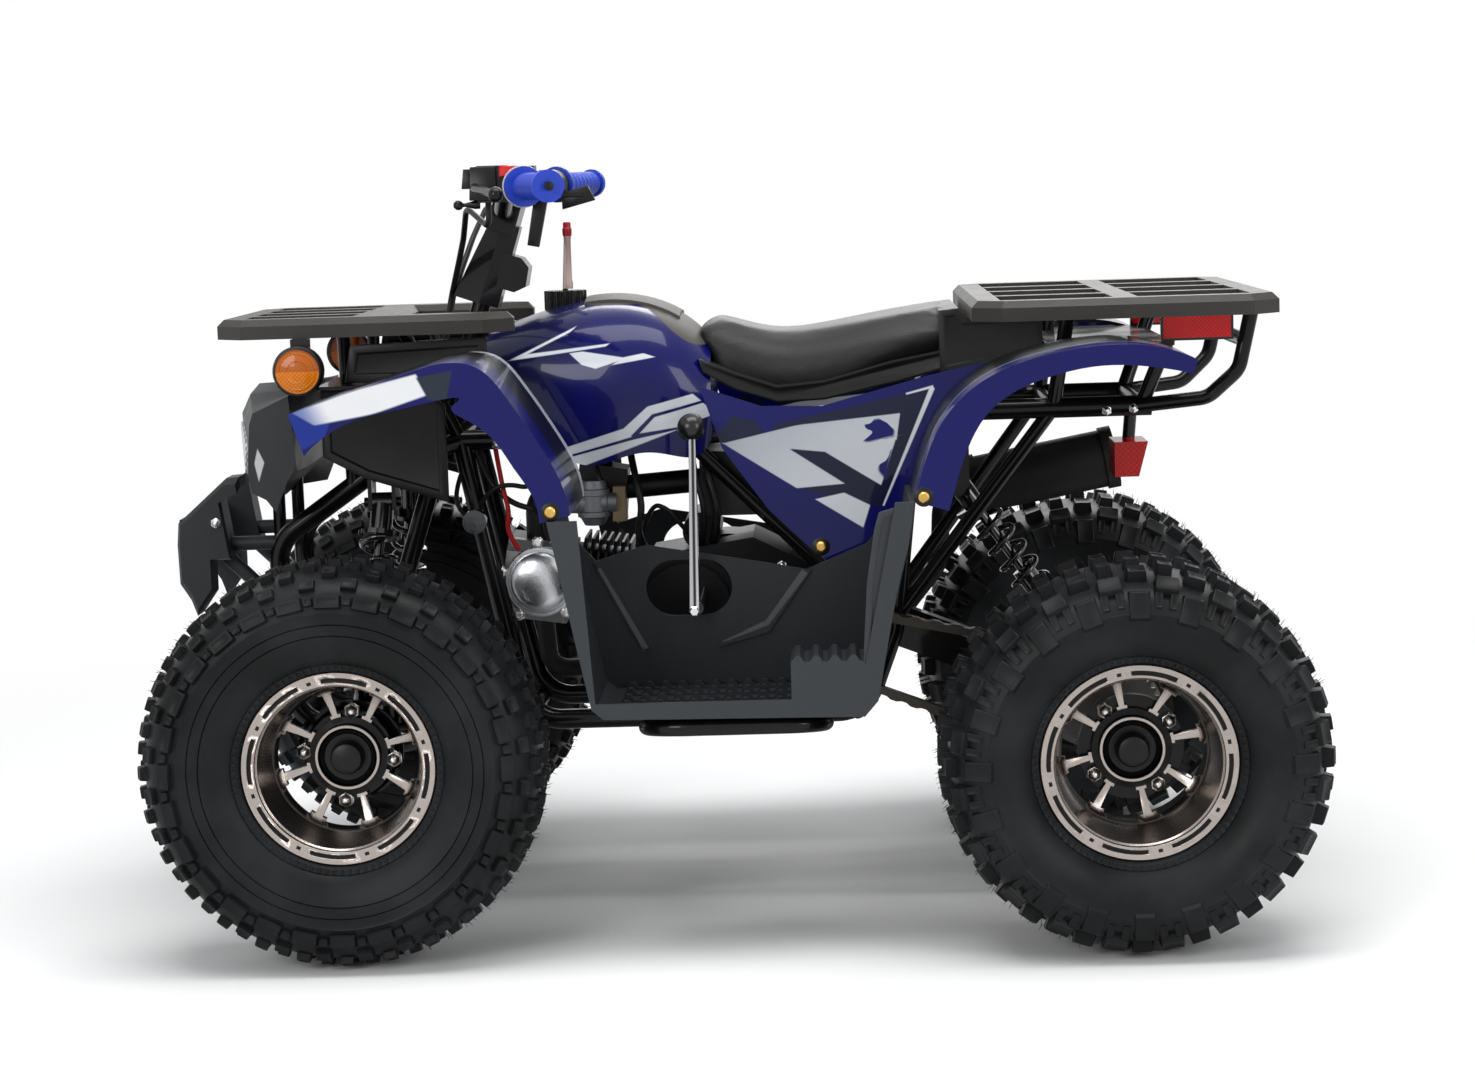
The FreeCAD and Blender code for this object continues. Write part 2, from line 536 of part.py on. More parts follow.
def coil_over(foot, head, eye_axis):
    """Damper with an eye at each end and a coil spring between two seats."""
    way = head - foot
    length = way.Length
    way.normalize()
    eye = eye_axis * (size.shock_eye_width / 2)
    parts = [rod(end - eye, end + eye, size.shock_eye_radius) for end in (foot, head)]
    parts.append(rod(foot, foot + way * length * BODY_SHARE, size.damper_radius))
    parts.append(rod(foot, head, size.damper_rod_radius))
    low, high = foot + way * length * SEAT_LOW_SHARE, foot + way * length * SEAT_HIGH_SHARE
    for place in (low, high):
        parts.append(rod(place, place + way * size.spring_seat_wall, size.spring_radius + size.spring_seat_rim))
    parts.append(rod(high, head - way * size.spring_wire_radius, size.damper_radius))
    spring_length = (high - low).Length
    coil_radius = size.spring_radius - size.spring_wire_radius
    helix = Part.makeHelix(spring_length / size.spring_turns, spring_length, coil_radius)
    start = helix.Edges[0].valueAt(helix.Edges[0].FirstParameter)
    section = Part.Wire(Part.Circle(start, ACROSS, size.spring_wire_radius).toShape())
    coil = Part.Wire(helix.Edges).makePipeShell([section], True, True)
    coil.Placement = FreeCAD.Placement(low + way * (size.spring_seat_wall / 2), FreeCAD.Rotation(UP, way))
    whole = joined(parts + [coil])
    bore = eye_axis * (2 * size.shock_eye_width)
    for end in (foot, head):
        whole = whole.cut(rod(end - bore, end + bore, size.pivot_bolt_radius + size.running_gap))
    return whole


# Steering column
RAKE = math.radians(size.stem_rake)
STEM_WAY = V(math.sin(RAKE), 0, math.cos(RAKE))
STEM_BACK = V(math.cos(RAKE), 0, -math.sin(RAKE))
STEM_TURN = FreeCAD.Rotation(UP, STEM_WAY)


def on_stem(height):
    rise = height - size.stem_reference_height
    return V(FRONT_X + size.stem_setback + rise * math.tan(RAKE), 0, height)


STEM_FOOT = on_stem(size.stem_foot_height)
STEM_TOP = on_stem(size.stem_top_height)
COWL_FOOT = on_stem(size.cowl_foot_height)
PITMAN = STEM_FOOT + STEM_BACK * size.steer_arm_length + STEM_WAY * (size.pitman_rise + size.steer_arm_wall / 2)


def stem_section(centre, front, rear, half):
    """Six-sided section of the column cowl, square to the column."""
    corner_share = 0.6
    outline = [(-front, -half * corner_share), (0, -half), (rear, -half * corner_share),
               (rear, half * corner_share), (0, half), (-front, half * corner_share)]
    corners = [centre + STEM_BACK * a + ACROSS * b for a, b in outline]
    return Part.makePolygon(corners + corners[:1])


def steering_stem():
    """Column with the pitman arm at its foot, the bar clamp, the cowl and the key box."""
    parts = [rod(STEM_FOOT, STEM_TOP, size.stem_radius)]
    half, wall = size.steer_arm_width / 2, size.steer_arm_wall
    plate = block((0, -half, 0), (size.steer_arm_length, half, wall))
    tip = V(size.steer_arm_length, 0, wall / 2)
    boss = rod(tip - UP * (wall / 2), tip + UP * (wall / 2), half)
    stud_half = UP * (size.pitman_stud_length / 2)
    pitman = joined([plate, boss, rod(tip - stud_half, tip + stud_half, size.stud_radius)])
    pitman.Placement = FreeCAD.Placement(STEM_FOOT + STEM_WAY * size.pitman_rise, STEM_TURN)
    parts.append(pitman)
    clamp_half = size.clamp_length / 2
    clamp = block((-clamp_half, -size.clamp_half_width, -size.clamp_drop),
                  (clamp_half, size.clamp_half_width, size.clamp_height - size.clamp_drop))
    clamp.Placement = FreeCAD.Placement(STEM_TOP, STEM_TURN)
    parts.append(clamp)
    low = stem_section(COWL_FOOT, size.cowl_foot_front, size.cowl_foot_rear, size.cowl_foot_half_width)
    high = stem_section(on_stem(size.cowl_top_height), size.cowl_top_front, size.cowl_top_rear,
                        size.cowl_top_half_width)
    parts.append(Part.makeLoft([low, high], True, True))
    foot = on_stem(size.key_box_foot)
    depth = size.cowl_top_rear + size.key_box_depth
    key_shares = [(0.0, 0.0), (0.75, 0.0), (1.0, 0.25), (0.94, 0.8), (0.7, 1.0), (0.0, 1.0)]
    key_box = slab(spread(key_shares, 0, 0, depth, size.key_box_height),
                   -size.key_box_half_width, size.key_box_half_width)
    key_box.Placement = FreeCAD.Placement(foot, STEM_TURN)
    parts.append(key_box)
    return joined(parts)


BAR_ROOT = STEM_TOP + STEM_WAY * size.bar_seat


def grip_tip(side):
    return V(BAR_ROOT.x + size.bar_sweep, side * size.bar_half_span, size.bar_height)


def grip_root(side):
    return V(grip_tip(side).x - size.grip_sweep, side * size.grip_inner_half_span, size.bar_height)


def grip_way(side):
    return (grip_tip(side) - grip_root(side)).normalize()


def bar_points(side):
    """Centre line of one half of the handlebar."""
    rise = V(BAR_ROOT.x + size.bar_rise_setback, side * size.bar_rise_half_span, size.bar_height - size.bar_dip)
    return [BAR_ROOT, BAR_ROOT + ACROSS * (side * size.bar_bend_half_span), rise, grip_root(side), grip_tip(side)]


handlebar = joined([tube(bar_points(side), size.bar_radius, size.bar_bend_radius) for side in SIDES.values()])
feature(steering_stem().cut(handlebar), "steering_stem")
feature(handlebar, "handlebar")


def grip(side):
    """Ribbed rubber sleeve turned about the bar's end, with a flange at its root."""
    length = (grip_tip(side) - grip_root(side)).Length + size.grip_end_gap
    start, end = size.grip_flange_wall, length - size.grip_flange_wall
    points = [(size.bar_radius, 0), (size.grip_flange_radius, 0), (size.grip_flange_radius, start)]
    count = int(size.grip_rib_count)
    pitch = (end - start) / count
    for number in range(count):
        low = start + number * pitch
        points += [(size.grip_radius - size.grip_rib, low), (size.grip_radius, low + pitch / 2),
                   (size.grip_radius - size.grip_rib, low + pitch)]
    points += [(size.grip_end_radius, end), (size.grip_end_radius, length), (0, length),
               (0, length - size.grip_end_gap), (size.bar_radius, length - size.grip_end_gap)]
    points = [spot for spot, after in zip(points, points[1:] + points[:1]) if spot != after]
    profile = Part.makePolygon([V(r, along, 0) for r, along in points + points[:1]])
    solid = Part.Face(profile).revolve(V(0, 0, 0), ACROSS, FULL_TURN)
    solid.Placement = FreeCAD.Placement(grip_root(side), FreeCAD.Rotation(ACROSS, grip_way(side)))
    return solid


for name, side in SIDES.items():
    feature(grip(side), f"grip_{name}")


def lever_points(side):
    """Root, knee and tip of the brake lever, which runs along the grip's front."""
    way = grip_way(side)
    root = grip_root(side) - way * size.perch_offset + V(-size.lever_reach, side * size.lever_ball_radius, size.perch_rise)
    knee = root + way * size.lever_reach + V(-size.lever_knee, 0, -size.perch_rise)
    return root, knee, knee + way * size.lever_length + V(size.perch_rise, 0, -size.lever_drop)


def brake_lever(side):
    """Bent lever with a ball at its tip."""
    points = lever_points(side)
    return joined([tube(points, size.lever_radius, size.lever_bend_radius),
                   Part.makeSphere(size.lever_ball_radius, points[-1])])


def hand_control(side):
    """Clamp and switch box inboard of the grip, the lever's perch and, on the right, the thumb lever."""
    root, way = grip_root(side), grip_way(side)
    start = root - way * (size.control_clamp_length + size.control_clamp_gap)
    clamp = rod(start, root - way * size.control_clamp_gap, size.control_clamp_radius)
    half = size.control_box_width / 2
    back = start.x - size.perch_half_width
    low = start.z - size.control_box_drop
    box = block((back - size.control_box_length, start.y - half, low),
                (back, start.y + half, low + size.control_box_height))
    perch = root - way * size.perch_offset
    ring = way * size.perch_half_width
    post = rod(perch, perch + V(-size.perch_reach, side * size.perch_lean, size.perch_rise), size.perch_post_radius)
    neck = rod(start + way * size.control_box_drop, V(back - size.perch_half_width, start.y, start.z), size.neck_radius)
    collar = rod(perch, root - way * size.control_box_drop, size.collar_radius)
    parts = [clamp, box, rod(perch - ring, perch + ring, size.perch_radius), post, neck, collar]
    if side == RIGHT:
        thumb = start + way * size.control_clamp_radius - UP * size.bar_radius
        parts.append(block(thumb - V(0, size.thumb_lever_width / 2, size.thumb_lever_wall),
                           thumb + V(size.thumb_lever_length, size.thumb_lever_width / 2, 0)))
    return minus(joined(parts), handlebar, brake_lever(side))


for name, side in SIDES.items():
    feature(hand_control(side), f"hand_controls_{name}")
    feature(brake_lever(side), f"brake_lever_{name}")

# Control cables run from each switch box to a clip on the column and down into the frame
CABLE_SHARES = [(0.62, 0.86), (0.26, 0.55), (0.13, 0.30)]


def control_cable(side, number):
    """One cable from under the switch box, along the front of the column."""
    way = grip_way(side)
    box = grip_root(side) - way * (size.control_clamp_length + size.control_clamp_gap)
    shift = (2 * number + 1) * (size.cable_radius + size.running_gap)
    start = V(box.x - size.control_box_length, box.y - side * shift, box.z - size.control_box_drop)
    front = STEM_BACK * -(size.cowl_foot_front + size.cable_radius + size.running_gap)
    foot = on_stem(size.rear_rail_height) - STEM_BACK * (size.stem_radius + size.cable_radius + size.running_gap)
    span = abs(start.y)
    points = [start, start - UP * size.cable_bend_radius]
    for across, rise in CABLE_SHARES:
        height = COWL_FOOT.z + rise * (start.z - COWL_FOOT.z)
        points.append(on_stem(height) + front + ACROSS * (side * (across * span + shift)))
    points.append(COWL_FOOT + front + ACROSS * (side * shift))
    points.append(foot + UP * size.cable_bend_radius + ACROSS * (side * shift))
    points.append(foot + ACROSS * (side * shift))
    return tube(points, size.cable_radius, size.cable_bend_radius)


cables = [control_cable(side, number) for side in SIDES.values() for number in range(2)]
clip_foot = on_stem(size.rear_rail_height)
clip = rod(clip_foot, clip_foot + STEM_WAY * (2 * size.cable_clip_wall), size.stem_radius + size.cable_clip_wall)
clip_bore = rod(on_stem(size.stem_foot_height), STEM_TOP, size.stem_radius)
feature(joined([clip.cut(clip_bore)] + cables), "control_cables")


def tie_rod(side):
    """Rod with a ball joint on the knuckle's stud and an open eye round the pitman stud."""
    half = UP * (size.tie_eye_height / 2)
    rise = YOKE_HALF + size.steer_arm_wall + size.yoke_gap
    outer = V(STEER_ARM_X, side * size.kingpin_half_span, FRONT_Z + rise) + half
    inner = PITMAN - STEM_WAY * (side * size.tie_eye_lift)
    tilt = STEM_WAY * (size.tie_eye_height / 2)
    eye = rod(inner - tilt, inner + tilt, size.tie_eye_radius)
    hole = rod(inner - tilt * 2, inner + tilt * 2, size.tie_eye_bore_radius)
    ball = rod(outer - half, outer + half, size.tie_eye_radius)
    way = (inner - outer).normalize() * size.tie_eye_bore_radius
    bar = rod(outer + way, inner - way, size.tie_rod_radius)
    pin = rod(outer - half * 2, outer + half * 2, size.stud_radius + size.running_gap)
    return minus(joined([eye, ball, bar]), hole, pin)


for name, side in SIDES.items():
    feature(tie_rod(side), f"tie_rod_{name}")

# Frame
UPPER, LOWER = size.upper_rail_half_span, size.lower_rail_half_span
NOSE_X = FRONT_X - size.nose_reach
HOOP_X = NOSE_X - size.nose_lean
TOWER_X = FRONT_X + size.tower_setback
CRADLE_X = FRONT_X + size.cradle_front_setback
HEAD_X = FRONT_X + size.upper_rail_setback
PIVOT_X = REAR_X - size.swingarm_reach
TAIL_X = REAR_X + size.rear_rail_reach
SHOCK_TOP_X = REAR_X - size.rear_shock_top_setback
STRUT_X = REAR_X - size.strut_reach
UNDER_RACK = size.rack_height - size.rack_wall
BOLT_HALF_SPAN = LOWER - size.pivot_lap


def rail_joint(side):
    """Where the rear subframe meets the upper rail."""
    bend = V(size.upper_rail_bend_x, side * UPPER, size.upper_rail_height)
    far = V(size.rear_rail_bend_x, side * size.rear_rail_half_span, size.rear_rail_height)
    return bend + (far - bend) * size.rail_joint_share


def cross(x, half, height, radius=size.cross_tube_radius):
    return rod((x, -half, height), (x, half, height), radius)


def main_frame():
    """Cradle, upper rails, pivot shaft and the collar that guides the steering column."""
    parts = []
    for side in SIDES.values():
        y, head = side * LOWER, V(HEAD_X, side * UPPER, size.upper_rail_height)
        pivot = V(PIVOT_X, side * BOLT_HALF_SPAN, size.pivot_height)
        cradle = [head, (CRADLE_X, y, size.lower_rail_height), (size.cradle_rear_x, y, size.lower_rail_height),
                  pivot + BACK * size.pivot_lap, rail_joint(side)]
        parts.append(tube(cradle, size.frame_tube_radius, size.frame_bend_radius))
        bend = V(size.upper_rail_bend_x, head.y, head.z)
        parts.append(tube([head, bend, rail_joint(side)], size.frame_tube_radius, size.frame_bend_radius))
        parts.append(rod((size.down_strut_x, head.y, head.z), pivot, size.light_tube_radius))
        peg = [(size.peg_bar_front_x, y, size.lower_rail_height),
               (size.peg_bar_front_x, side * size.peg_bar_half_span, size.peg_bar_height),
               (size.peg_bar_front_x + size.peg_bar_length, side * size.peg_bar_half_span, size.peg_bar_height),
               (size.peg_bar_front_x + size.peg_bar_length, y, size.lower_rail_height)]
        parts.append(tube(peg, size.cross_tube_radius, size.frame_bend_radius))
    for x, half, height in ((CRADLE_X, LOWER, size.lower_rail_height),
                            (size.cradle_cross_x, LOWER, size.lower_rail_height),
                            (HEAD_X, UPPER, size.upper_rail_height),
                            (size.upper_rail_bend_x, UPPER, size.upper_rail_height)):
        parts.append(cross(x, half, height))
    parts.append(cross(PIVOT_X, size.pivot_shaft_half_span, size.pivot_height, size.pivot_shaft_radius))
    collar_foot = on_stem(size.head_collar_foot)
    parts.append(rod(collar_foot, on_stem(size.head_collar_foot + size.collar_height), size.head_collar_radius))
    parts.append(rod(collar_foot + STEM_WAY * (size.collar_height / 2), (HEAD_X, 0, size.upper_rail_height),
                     size.head_stay_radius))
    return joined(parts)


def arm_mounts():
    """Bolts and tabs that hold the lower arms and the dampers' heads on the left."""
    parts = []
    for bolt in bush_places():
        half = size.arm_bush_length / 2
        reach = BACK * (half + size.bolt_end)
        parts.append(rod(bolt - reach, bolt + reach, size.pivot_bolt_radius))
        for way in (-1, 1):
            near = bolt.x + way * (half + size.tab_gap)
            low = bolt.z - size.arm_tab_drop
            parts.append(block((near, -LOWER, low), (near + way * size.tab_wall, bolt.y - size.arm_tab_drop,
                                                     low + size.arm_tab_height)))
    head = V(FRONT_X + size.shock_lean, -size.shock_top_half_span, size.shock_top_height)
    half = size.shock_eye_width / 2
    reach = BACK * (half + size.tab_wall + size.pivot_bolt_radius)
    parts.append(rod(head - reach, head + reach, size.pivot_bolt_radius))
    low = head.z - size.shock_tab_reach
    for way in (-1, 1):
        near = head.x + way * (half + size.tab_gap)
        parts.append(block((near, -LOWER, low), (near + way * size.tab_wall, head.y - size.shock_tab_reach,
                                                 low + size.shock_plate_height)))
    return parts


def front_frame():
    """Nose loops, damper towers and the arms' mounts."""
    left = []
    y = -LOWER
    loop = [(CRADLE_X, y, size.lower_rail_height + size.cradle_lap), (NOSE_X, y, size.lower_rail_height),
            (HOOP_X, y, size.nose_hoop_height), (TOWER_X, -size.tower_half_span, size.tower_height),
            (HEAD_X, -UPPER, size.upper_rail_height)]
    left.append(tube(loop, size.frame_tube_radius, size.frame_bend_radius))
    left += arm_mounts()
    stay_foot = V(HOOP_X, -size.mask_stay_half_span, size.nose_hoop_height)
    left.append(rod(stay_foot, stay_foot + V(0, 0, size.mask_stay_height), size.rack_leg_radius))
    bars = [cross(NOSE_X, LOWER, size.lower_rail_height), cross(HOOP_X, LOWER, size.nose_hoop_height),
            cross(TOWER_X, size.tower_half_span, size.tower_height)]
    return joined(left + [mirrored(part) for part in left] + bars)


def rear_subframe():
    """Seat rails, struts and the rear damper's hanger."""
    left = []
    half, height = size.rear_rail_half_span, size.rear_rail_height
    left.append(tube([rail_joint(LEFT), (size.rear_rail_bend_x, -half, height), (TAIL_X, -half, height)],
                     size.frame_tube_radius, size.frame_bend_radius))
    left.append(rod((PIVOT_X, -BOLT_HALF_SPAN, size.pivot_height), (STRUT_X, -half, height), size.light_tube_radius))
    plate_x = SHOCK_TOP_X - size.hanger_setback
    left.append(block((plate_x, -size.hanger_half_gap, size.hanger_foot),
                      (plate_x + size.hanger_width, -size.hanger_half_gap - size.tab_wall,
                       size.hanger_foot + size.hanger_height)))
    bars = [cross(STRUT_X, half, height), cross(TAIL_X - size.rear_cross_inset, half, height),
            cross(SHOCK_TOP_X - size.hanger_bar_setback, half, height),
            cross(SHOCK_TOP_X, size.shock_eye_width, size.rear_shock_top_height, size.pivot_bolt_radius)]
    return joined(left + [mirrored(part) for part in left] + bars)


def rack_legs():
    """Four legs from the frame on the left, two under each rack."""
    front_half, rear_half = -size.rack_leg_half_span, -size.rear_rack_leg_half_span
    rail_half, rail_height = -size.rear_rail_half_span, size.rear_rail_height
    leg_x, rear_leg_x = FRONT_X - size.rack_leg_setback, TAIL_X - size.rear_cross_inset
    top = UNDER_RACK + size.rack_wall / 2
    return [
        rod((leg_x, -size.tower_half_span, size.tower_height - size.rack_leg_lap), (leg_x, front_half, top),
            size.rack_leg_radius),
        rod((HEAD_X, -UPPER, size.upper_rail_height), (HEAD_X - size.rack_leg_run, front_half, top),
            size.rack_leg_radius),
        rod((STRUT_X, rail_half, rail_height), (STRUT_X + size.rear_leg_run, rear_half, top),
            size.light_tube_radius),
        rod((rear_leg_x, rail_half, rail_height), (rear_leg_x + size.rear_leg_reach, rear_half, top),
            size.light_tube_radius)]


stem_way_clear = rod(on_stem(size.stem_foot_height - size.pitman_stud_length), COWL_FOOT,
                     size.stem_radius + size.stem_gap)
frame_main = main_frame().cut(stem_way_clear)
frame_front = minus(front_frame(), stem_way_clear, frame_main)
frame_rear = rear_subframe().cut(frame_main)
deck_level = block((NOSE_X, -size.fender_half_span, UNDER_RACK),
                   (TAIL_X + size.rear_rack_setback, size.fender_half_span, size.rack_height))
left_legs = [main_solid(minus(leg, frame_main, frame_front, frame_rear, deck_level)) for leg in rack_legs()]
legs = Part.makeCompound(left_legs + [mirrored(leg) for leg in left_legs])
frame_solid = Part.makeCompound([frame_main, frame_front, frame_rear, legs])
feature(frame_main, "frame")
feature(frame_front, "front_frame")
feature(frame_rear, "rear_subframe")
feature(legs, "rack_supports")
mirror_of(feature(control_arm().cut(frame_front), "control_arm_left"), "control_arm_right")
front_foot = V(FRONT_X, -size.shock_foot_half_span, size.shock_foot_height)
front_head = V(FRONT_X + size.shock_lean, -size.shock_top_half_span, size.shock_top_height)
front_shock = feature(coil_over(front_foot, front_head, BACK).cut(frame_front), "front_shock_left")
mirror_of(front_shock, "front_shock_right")


# Swingarm and drive
def caliper():
    """Rear caliper over the disc's front edge, on an arm from the axle carrier."""
    centre = V(REAR_X - size.brake_disc_radius, size.brake_disc_offset + size.brake_disc_wall / 2, REAR_Z)
    half = size.caliper_width / 2
    body = block((centre.x - size.caliper_length / 2, centre.y - half, centre.z),
                 (centre.x + size.caliper_length / 2, centre.y + half, centre.z + size.caliper_height))
    slot_half = size.brake_disc_wall / 2 + size.caliper_gap
    slot = rod((REAR_X, centre.y - slot_half, REAR_Z), (REAR_X, centre.y + slot_half, REAR_Z),
               size.brake_disc_radius + size.caliper_gap)
    arm_y = size.carrier_half_span - size.overrun
    arm = slab([(centre.x, REAR_Z), (REAR_X - size.axle_radius, REAR_Z - size.axle_radius),
                (REAR_X - size.axle_radius, REAR_Z + size.carrier_radius), (centre.x, REAR_Z + size.caliper_height)],
               arm_y, centre.y - half + size.overrun)
    hub_clear = rod((REAR_X, size.carrier_half_span, REAR_Z), (REAR_X, REAR_Y, REAR_Z),
                    size.sprocket_hub_radius + size.caliper_gap)
    return minus(joined([body, arm]), slot, hub_clear)


def swingarm():
    """Two box beams from the pivot tube to the axle carrier, with the damper's foot and the caliper."""
    parts = [cross(PIVOT_X, size.pivot_half_span, size.pivot_height, size.pivot_radius),
             cross(REAR_X, size.carrier_half_span, REAR_Z, size.carrier_radius)]
    drop = V(REAR_X - PIVOT_X, 0, REAR_Z - size.pivot_height)
    half_height, half_width = size.arm_bar_height / 2, size.arm_bar_width / 2
    foot = V(REAR_X - size.rear_shock_foot_setback, 0, size.rear_shock_foot_height)
    for side in SIDES.values():
        beam = block((-half_height, -half_width, 0), (half_height, half_width, drop.Length))
        beam.Placement = FreeCAD.Placement(V(PIVOT_X, side * size.arm_bar_half_span, size.pivot_height),
                                           FreeCAD.Rotation(UP, drop))
        parts.append(beam)
    post_inner = size.shock_post_half_gap
    post_outer = post_inner + size.shock_post_wall
    reach = size.shock_eye_radius
    post = [(foot.x - reach, foot.z - size.pivot_bolt_radius), (foot.x - reach / 2, foot.z + reach),
            (foot.x + reach, foot.z + reach), (REAR_X, REAR_Z + size.carrier_radius - size.pivot_lap),
            (REAR_X - size.carrier_radius, REAR_Z)]
    left_post = slab(post, -post_inner, -post_outer)
    parts += [left_post, mirrored(left_post), cross(foot.x, post_outer, foot.z, size.pivot_bolt_radius), caliper()]
    shaft = cross(PIVOT_X, size.pivot_shaft_half_span, size.pivot_height, size.pivot_shaft_radius + size.running_gap)
    return minus(joined(parts), shaft, cross(REAR_X, REAR_Y, REAR_Z, size.axle_radius + size.running_gap))


feature(swingarm(), "swingarm")
rear_foot = V(REAR_X - size.rear_shock_foot_setback, 0, size.rear_shock_foot_height)
rear_head = V(SHOCK_TOP_X, 0, size.rear_shock_top_height)
feature(coil_over(rear_foot, rear_head, ACROSS), "rear_shock")

DISH_REAR_Y = REAR_Y + size.rear_rim_width / 2 - size.rear_dish_depth


def axle():
    """Solid shaft with a flange and sleeve behind each rim's disc."""
    parts = [cross(REAR_X, DISH_REAR_Y + size.axle_end, REAR_Z, size.axle_radius)]
    face = DISH_REAR_Y - size.disc_wall
    for side in SIDES.values():
        seat = V(REAR_X, side * face, REAR_Z)
        parts.append(rod(seat - ACROSS * (side * size.hub_flange_wall), seat, size.hub_flange_radius))
        parts.append(rod(seat - ACROSS * (side * size.hub_sleeve_length), seat, size.hub_sleeve_radius))
    return joined(parts)


feature(axle(), "rear_axle")

TOOTH_SHARES = ((0.0, 0), (0.3, 0), (0.5, 1), (0.7, 1))


def toothed_wheel(radius, wall, teeth, centre):
    """Flat sprocket blank with one trapezoid tooth a pitch."""
    points = []
    for step in range(int(teeth)):
        for turn_share, rise_share in TOOTH_SHARES:
            angle = 2 * math.pi * (step + turn_share) / int(teeth)
            reach = radius - size.tooth_height * (1 - rise_share)
            points.append((centre.x + reach * math.cos(angle), centre.z + reach * math.sin(angle)))
    return slab(points, centre.y - wall / 2, centre.y + wall / 2)


axle_bore = cross(REAR_X, REAR_Y, REAR_Z, size.axle_radius)
sprocket_centre = V(REAR_X, -size.chain_offset, REAR_Z)
sprocket = toothed_wheel(size.sprocket_radius, size.sprocket_wall, size.sprocket_teeth, sprocket_centre)
sprocket_hub = rod(sprocket_centre - ACROSS * size.sprocket_hub_outer,
                   sprocket_centre + ACROSS * size.sprocket_hub_inner, size.sprocket_hub_radius)
feature(joined([sprocket, sprocket_hub]).cut(axle_bore), "rear_sprocket")

# Brake disc turned, then drilled round
disc_points = [
    (size.axle_radius, -size.disc_hub_inner), (size.sprocket_hub_radius, -size.disc_hub_inner),
    (size.sprocket_hub_radius, 0), (size.brake_disc_radius, 0),
    (size.brake_disc_radius, size.brake_disc_wall), (size.sprocket_hub_radius, size.brake_disc_wall),
    (size.sprocket_hub_radius, size.brake_disc_wall + size.disc_hub_outer),
    (size.axle_radius, size.brake_disc_wall + size.disc_hub_outer)]
disc_place = FreeCAD.Placement(V(REAR_X, size.brake_disc_offset, REAR_Z), FreeCAD.Rotation())
disc, disc_profile = turned_body("brake_disc", disc_points, disc_place)
hole_sketch = new_sketch(disc, "XZ_Plane", "disc_hole")
hole_sketch.addGeometry(Part.Circle(V(size.disc_hole_ring, 0, 0), UP, size.disc_hole_radius), False)
drilled = pocket_through(disc, hole_sketch, "disc_drilled")
polar(disc, drilled, disc_profile, "disc_holes", "sizes.disc_hole_count")
keep(disc, "brake_disc")


def loop_face(shift, waist=0):
    """Face of a belt round both sprockets, at a distance outside them."""
    small, large = size.front_sprocket_radius + shift, size.sprocket_radius + shift
    start = V(size.front_sprocket_x, 0, size.front_sprocket_height)
    end = V(REAR_X, 0, REAR_Z)
    way = end - start
    base = math.atan2(way.z, way.x)
    lean = math.acos((small - large) / way.Length)
    y = -size.chain_offset - size.chain_width / 2

    def at(centre, radius, angle):
        return V(centre.x + radius * math.cos(angle), y, centre.z + radius * math.sin(angle))
    top_a, top_b = at(start, small, base + lean), at(end, large, base + lean)
    low_a, low_b = at(start, small, base - lean), at(end, large, base - lean)

    def run(first, last):
        """One straight run, pinched between the links where a waist is asked for."""
        along = last - first
        inward = V(along.z, 0, -along.x).normalize() * waist
        count = int(along.Length / size.chain_pitch)
        stops = [first]
        for link in range(count):
            for place_share, depth in ((0.15, 0), (0.38, 1), (0.62, 1), (0.85, 0)):
                stops.append(first + along * ((link + place_share) / count) + inward * depth)
        return stops + [last]
    edges = []
    top, low = run(top_a, top_b), run(low_b, low_a)
    edges += [Part.LineSegment(a, b).toShape() for a, b in zip(top, top[1:])]
    edges.append(Part.Arc(top_b, at(end, large, base), low_b).toShape())
    edges += [Part.LineSegment(a, b).toShape() for a, b in zip(low, low[1:])]
    edges.append(Part.Arc(low_a, at(start, small, base + math.pi), top_a).toShape())
    return Part.Face(Part.Wire(edges))


chain_outside = loop_face(size.chain_gap + size.chain_height, size.chain_waist)
chain = chain_outside.cut(loop_face(size.chain_gap)).extrude(ACROSS * size.chain_width)
feature(chain, "chain")


# Engine
def square_section(half_a, half_b, chamfer):
    return [(-half_a, chamfer - half_b), (chamfer - half_a, -half_b), (half_a - chamfer, -half_b),
            (half_a, chamfer - half_b), (half_a, half_b - chamfer), (half_a - chamfer, half_b),
            (chamfer - half_a, half_b), (-half_a, half_b - chamfer)]


CASE_SHARES = [(0.0, 0.20), (0.16, 0.0), (0.80, 0.0), (1.0, 0.35), (0.96, 0.76), (0.64, 1.0),
               (0.12, 0.88), (0.0, 0.65)]
FIN_START_SHARE, FIN_RUN_SHARE = 0.25, 0.7


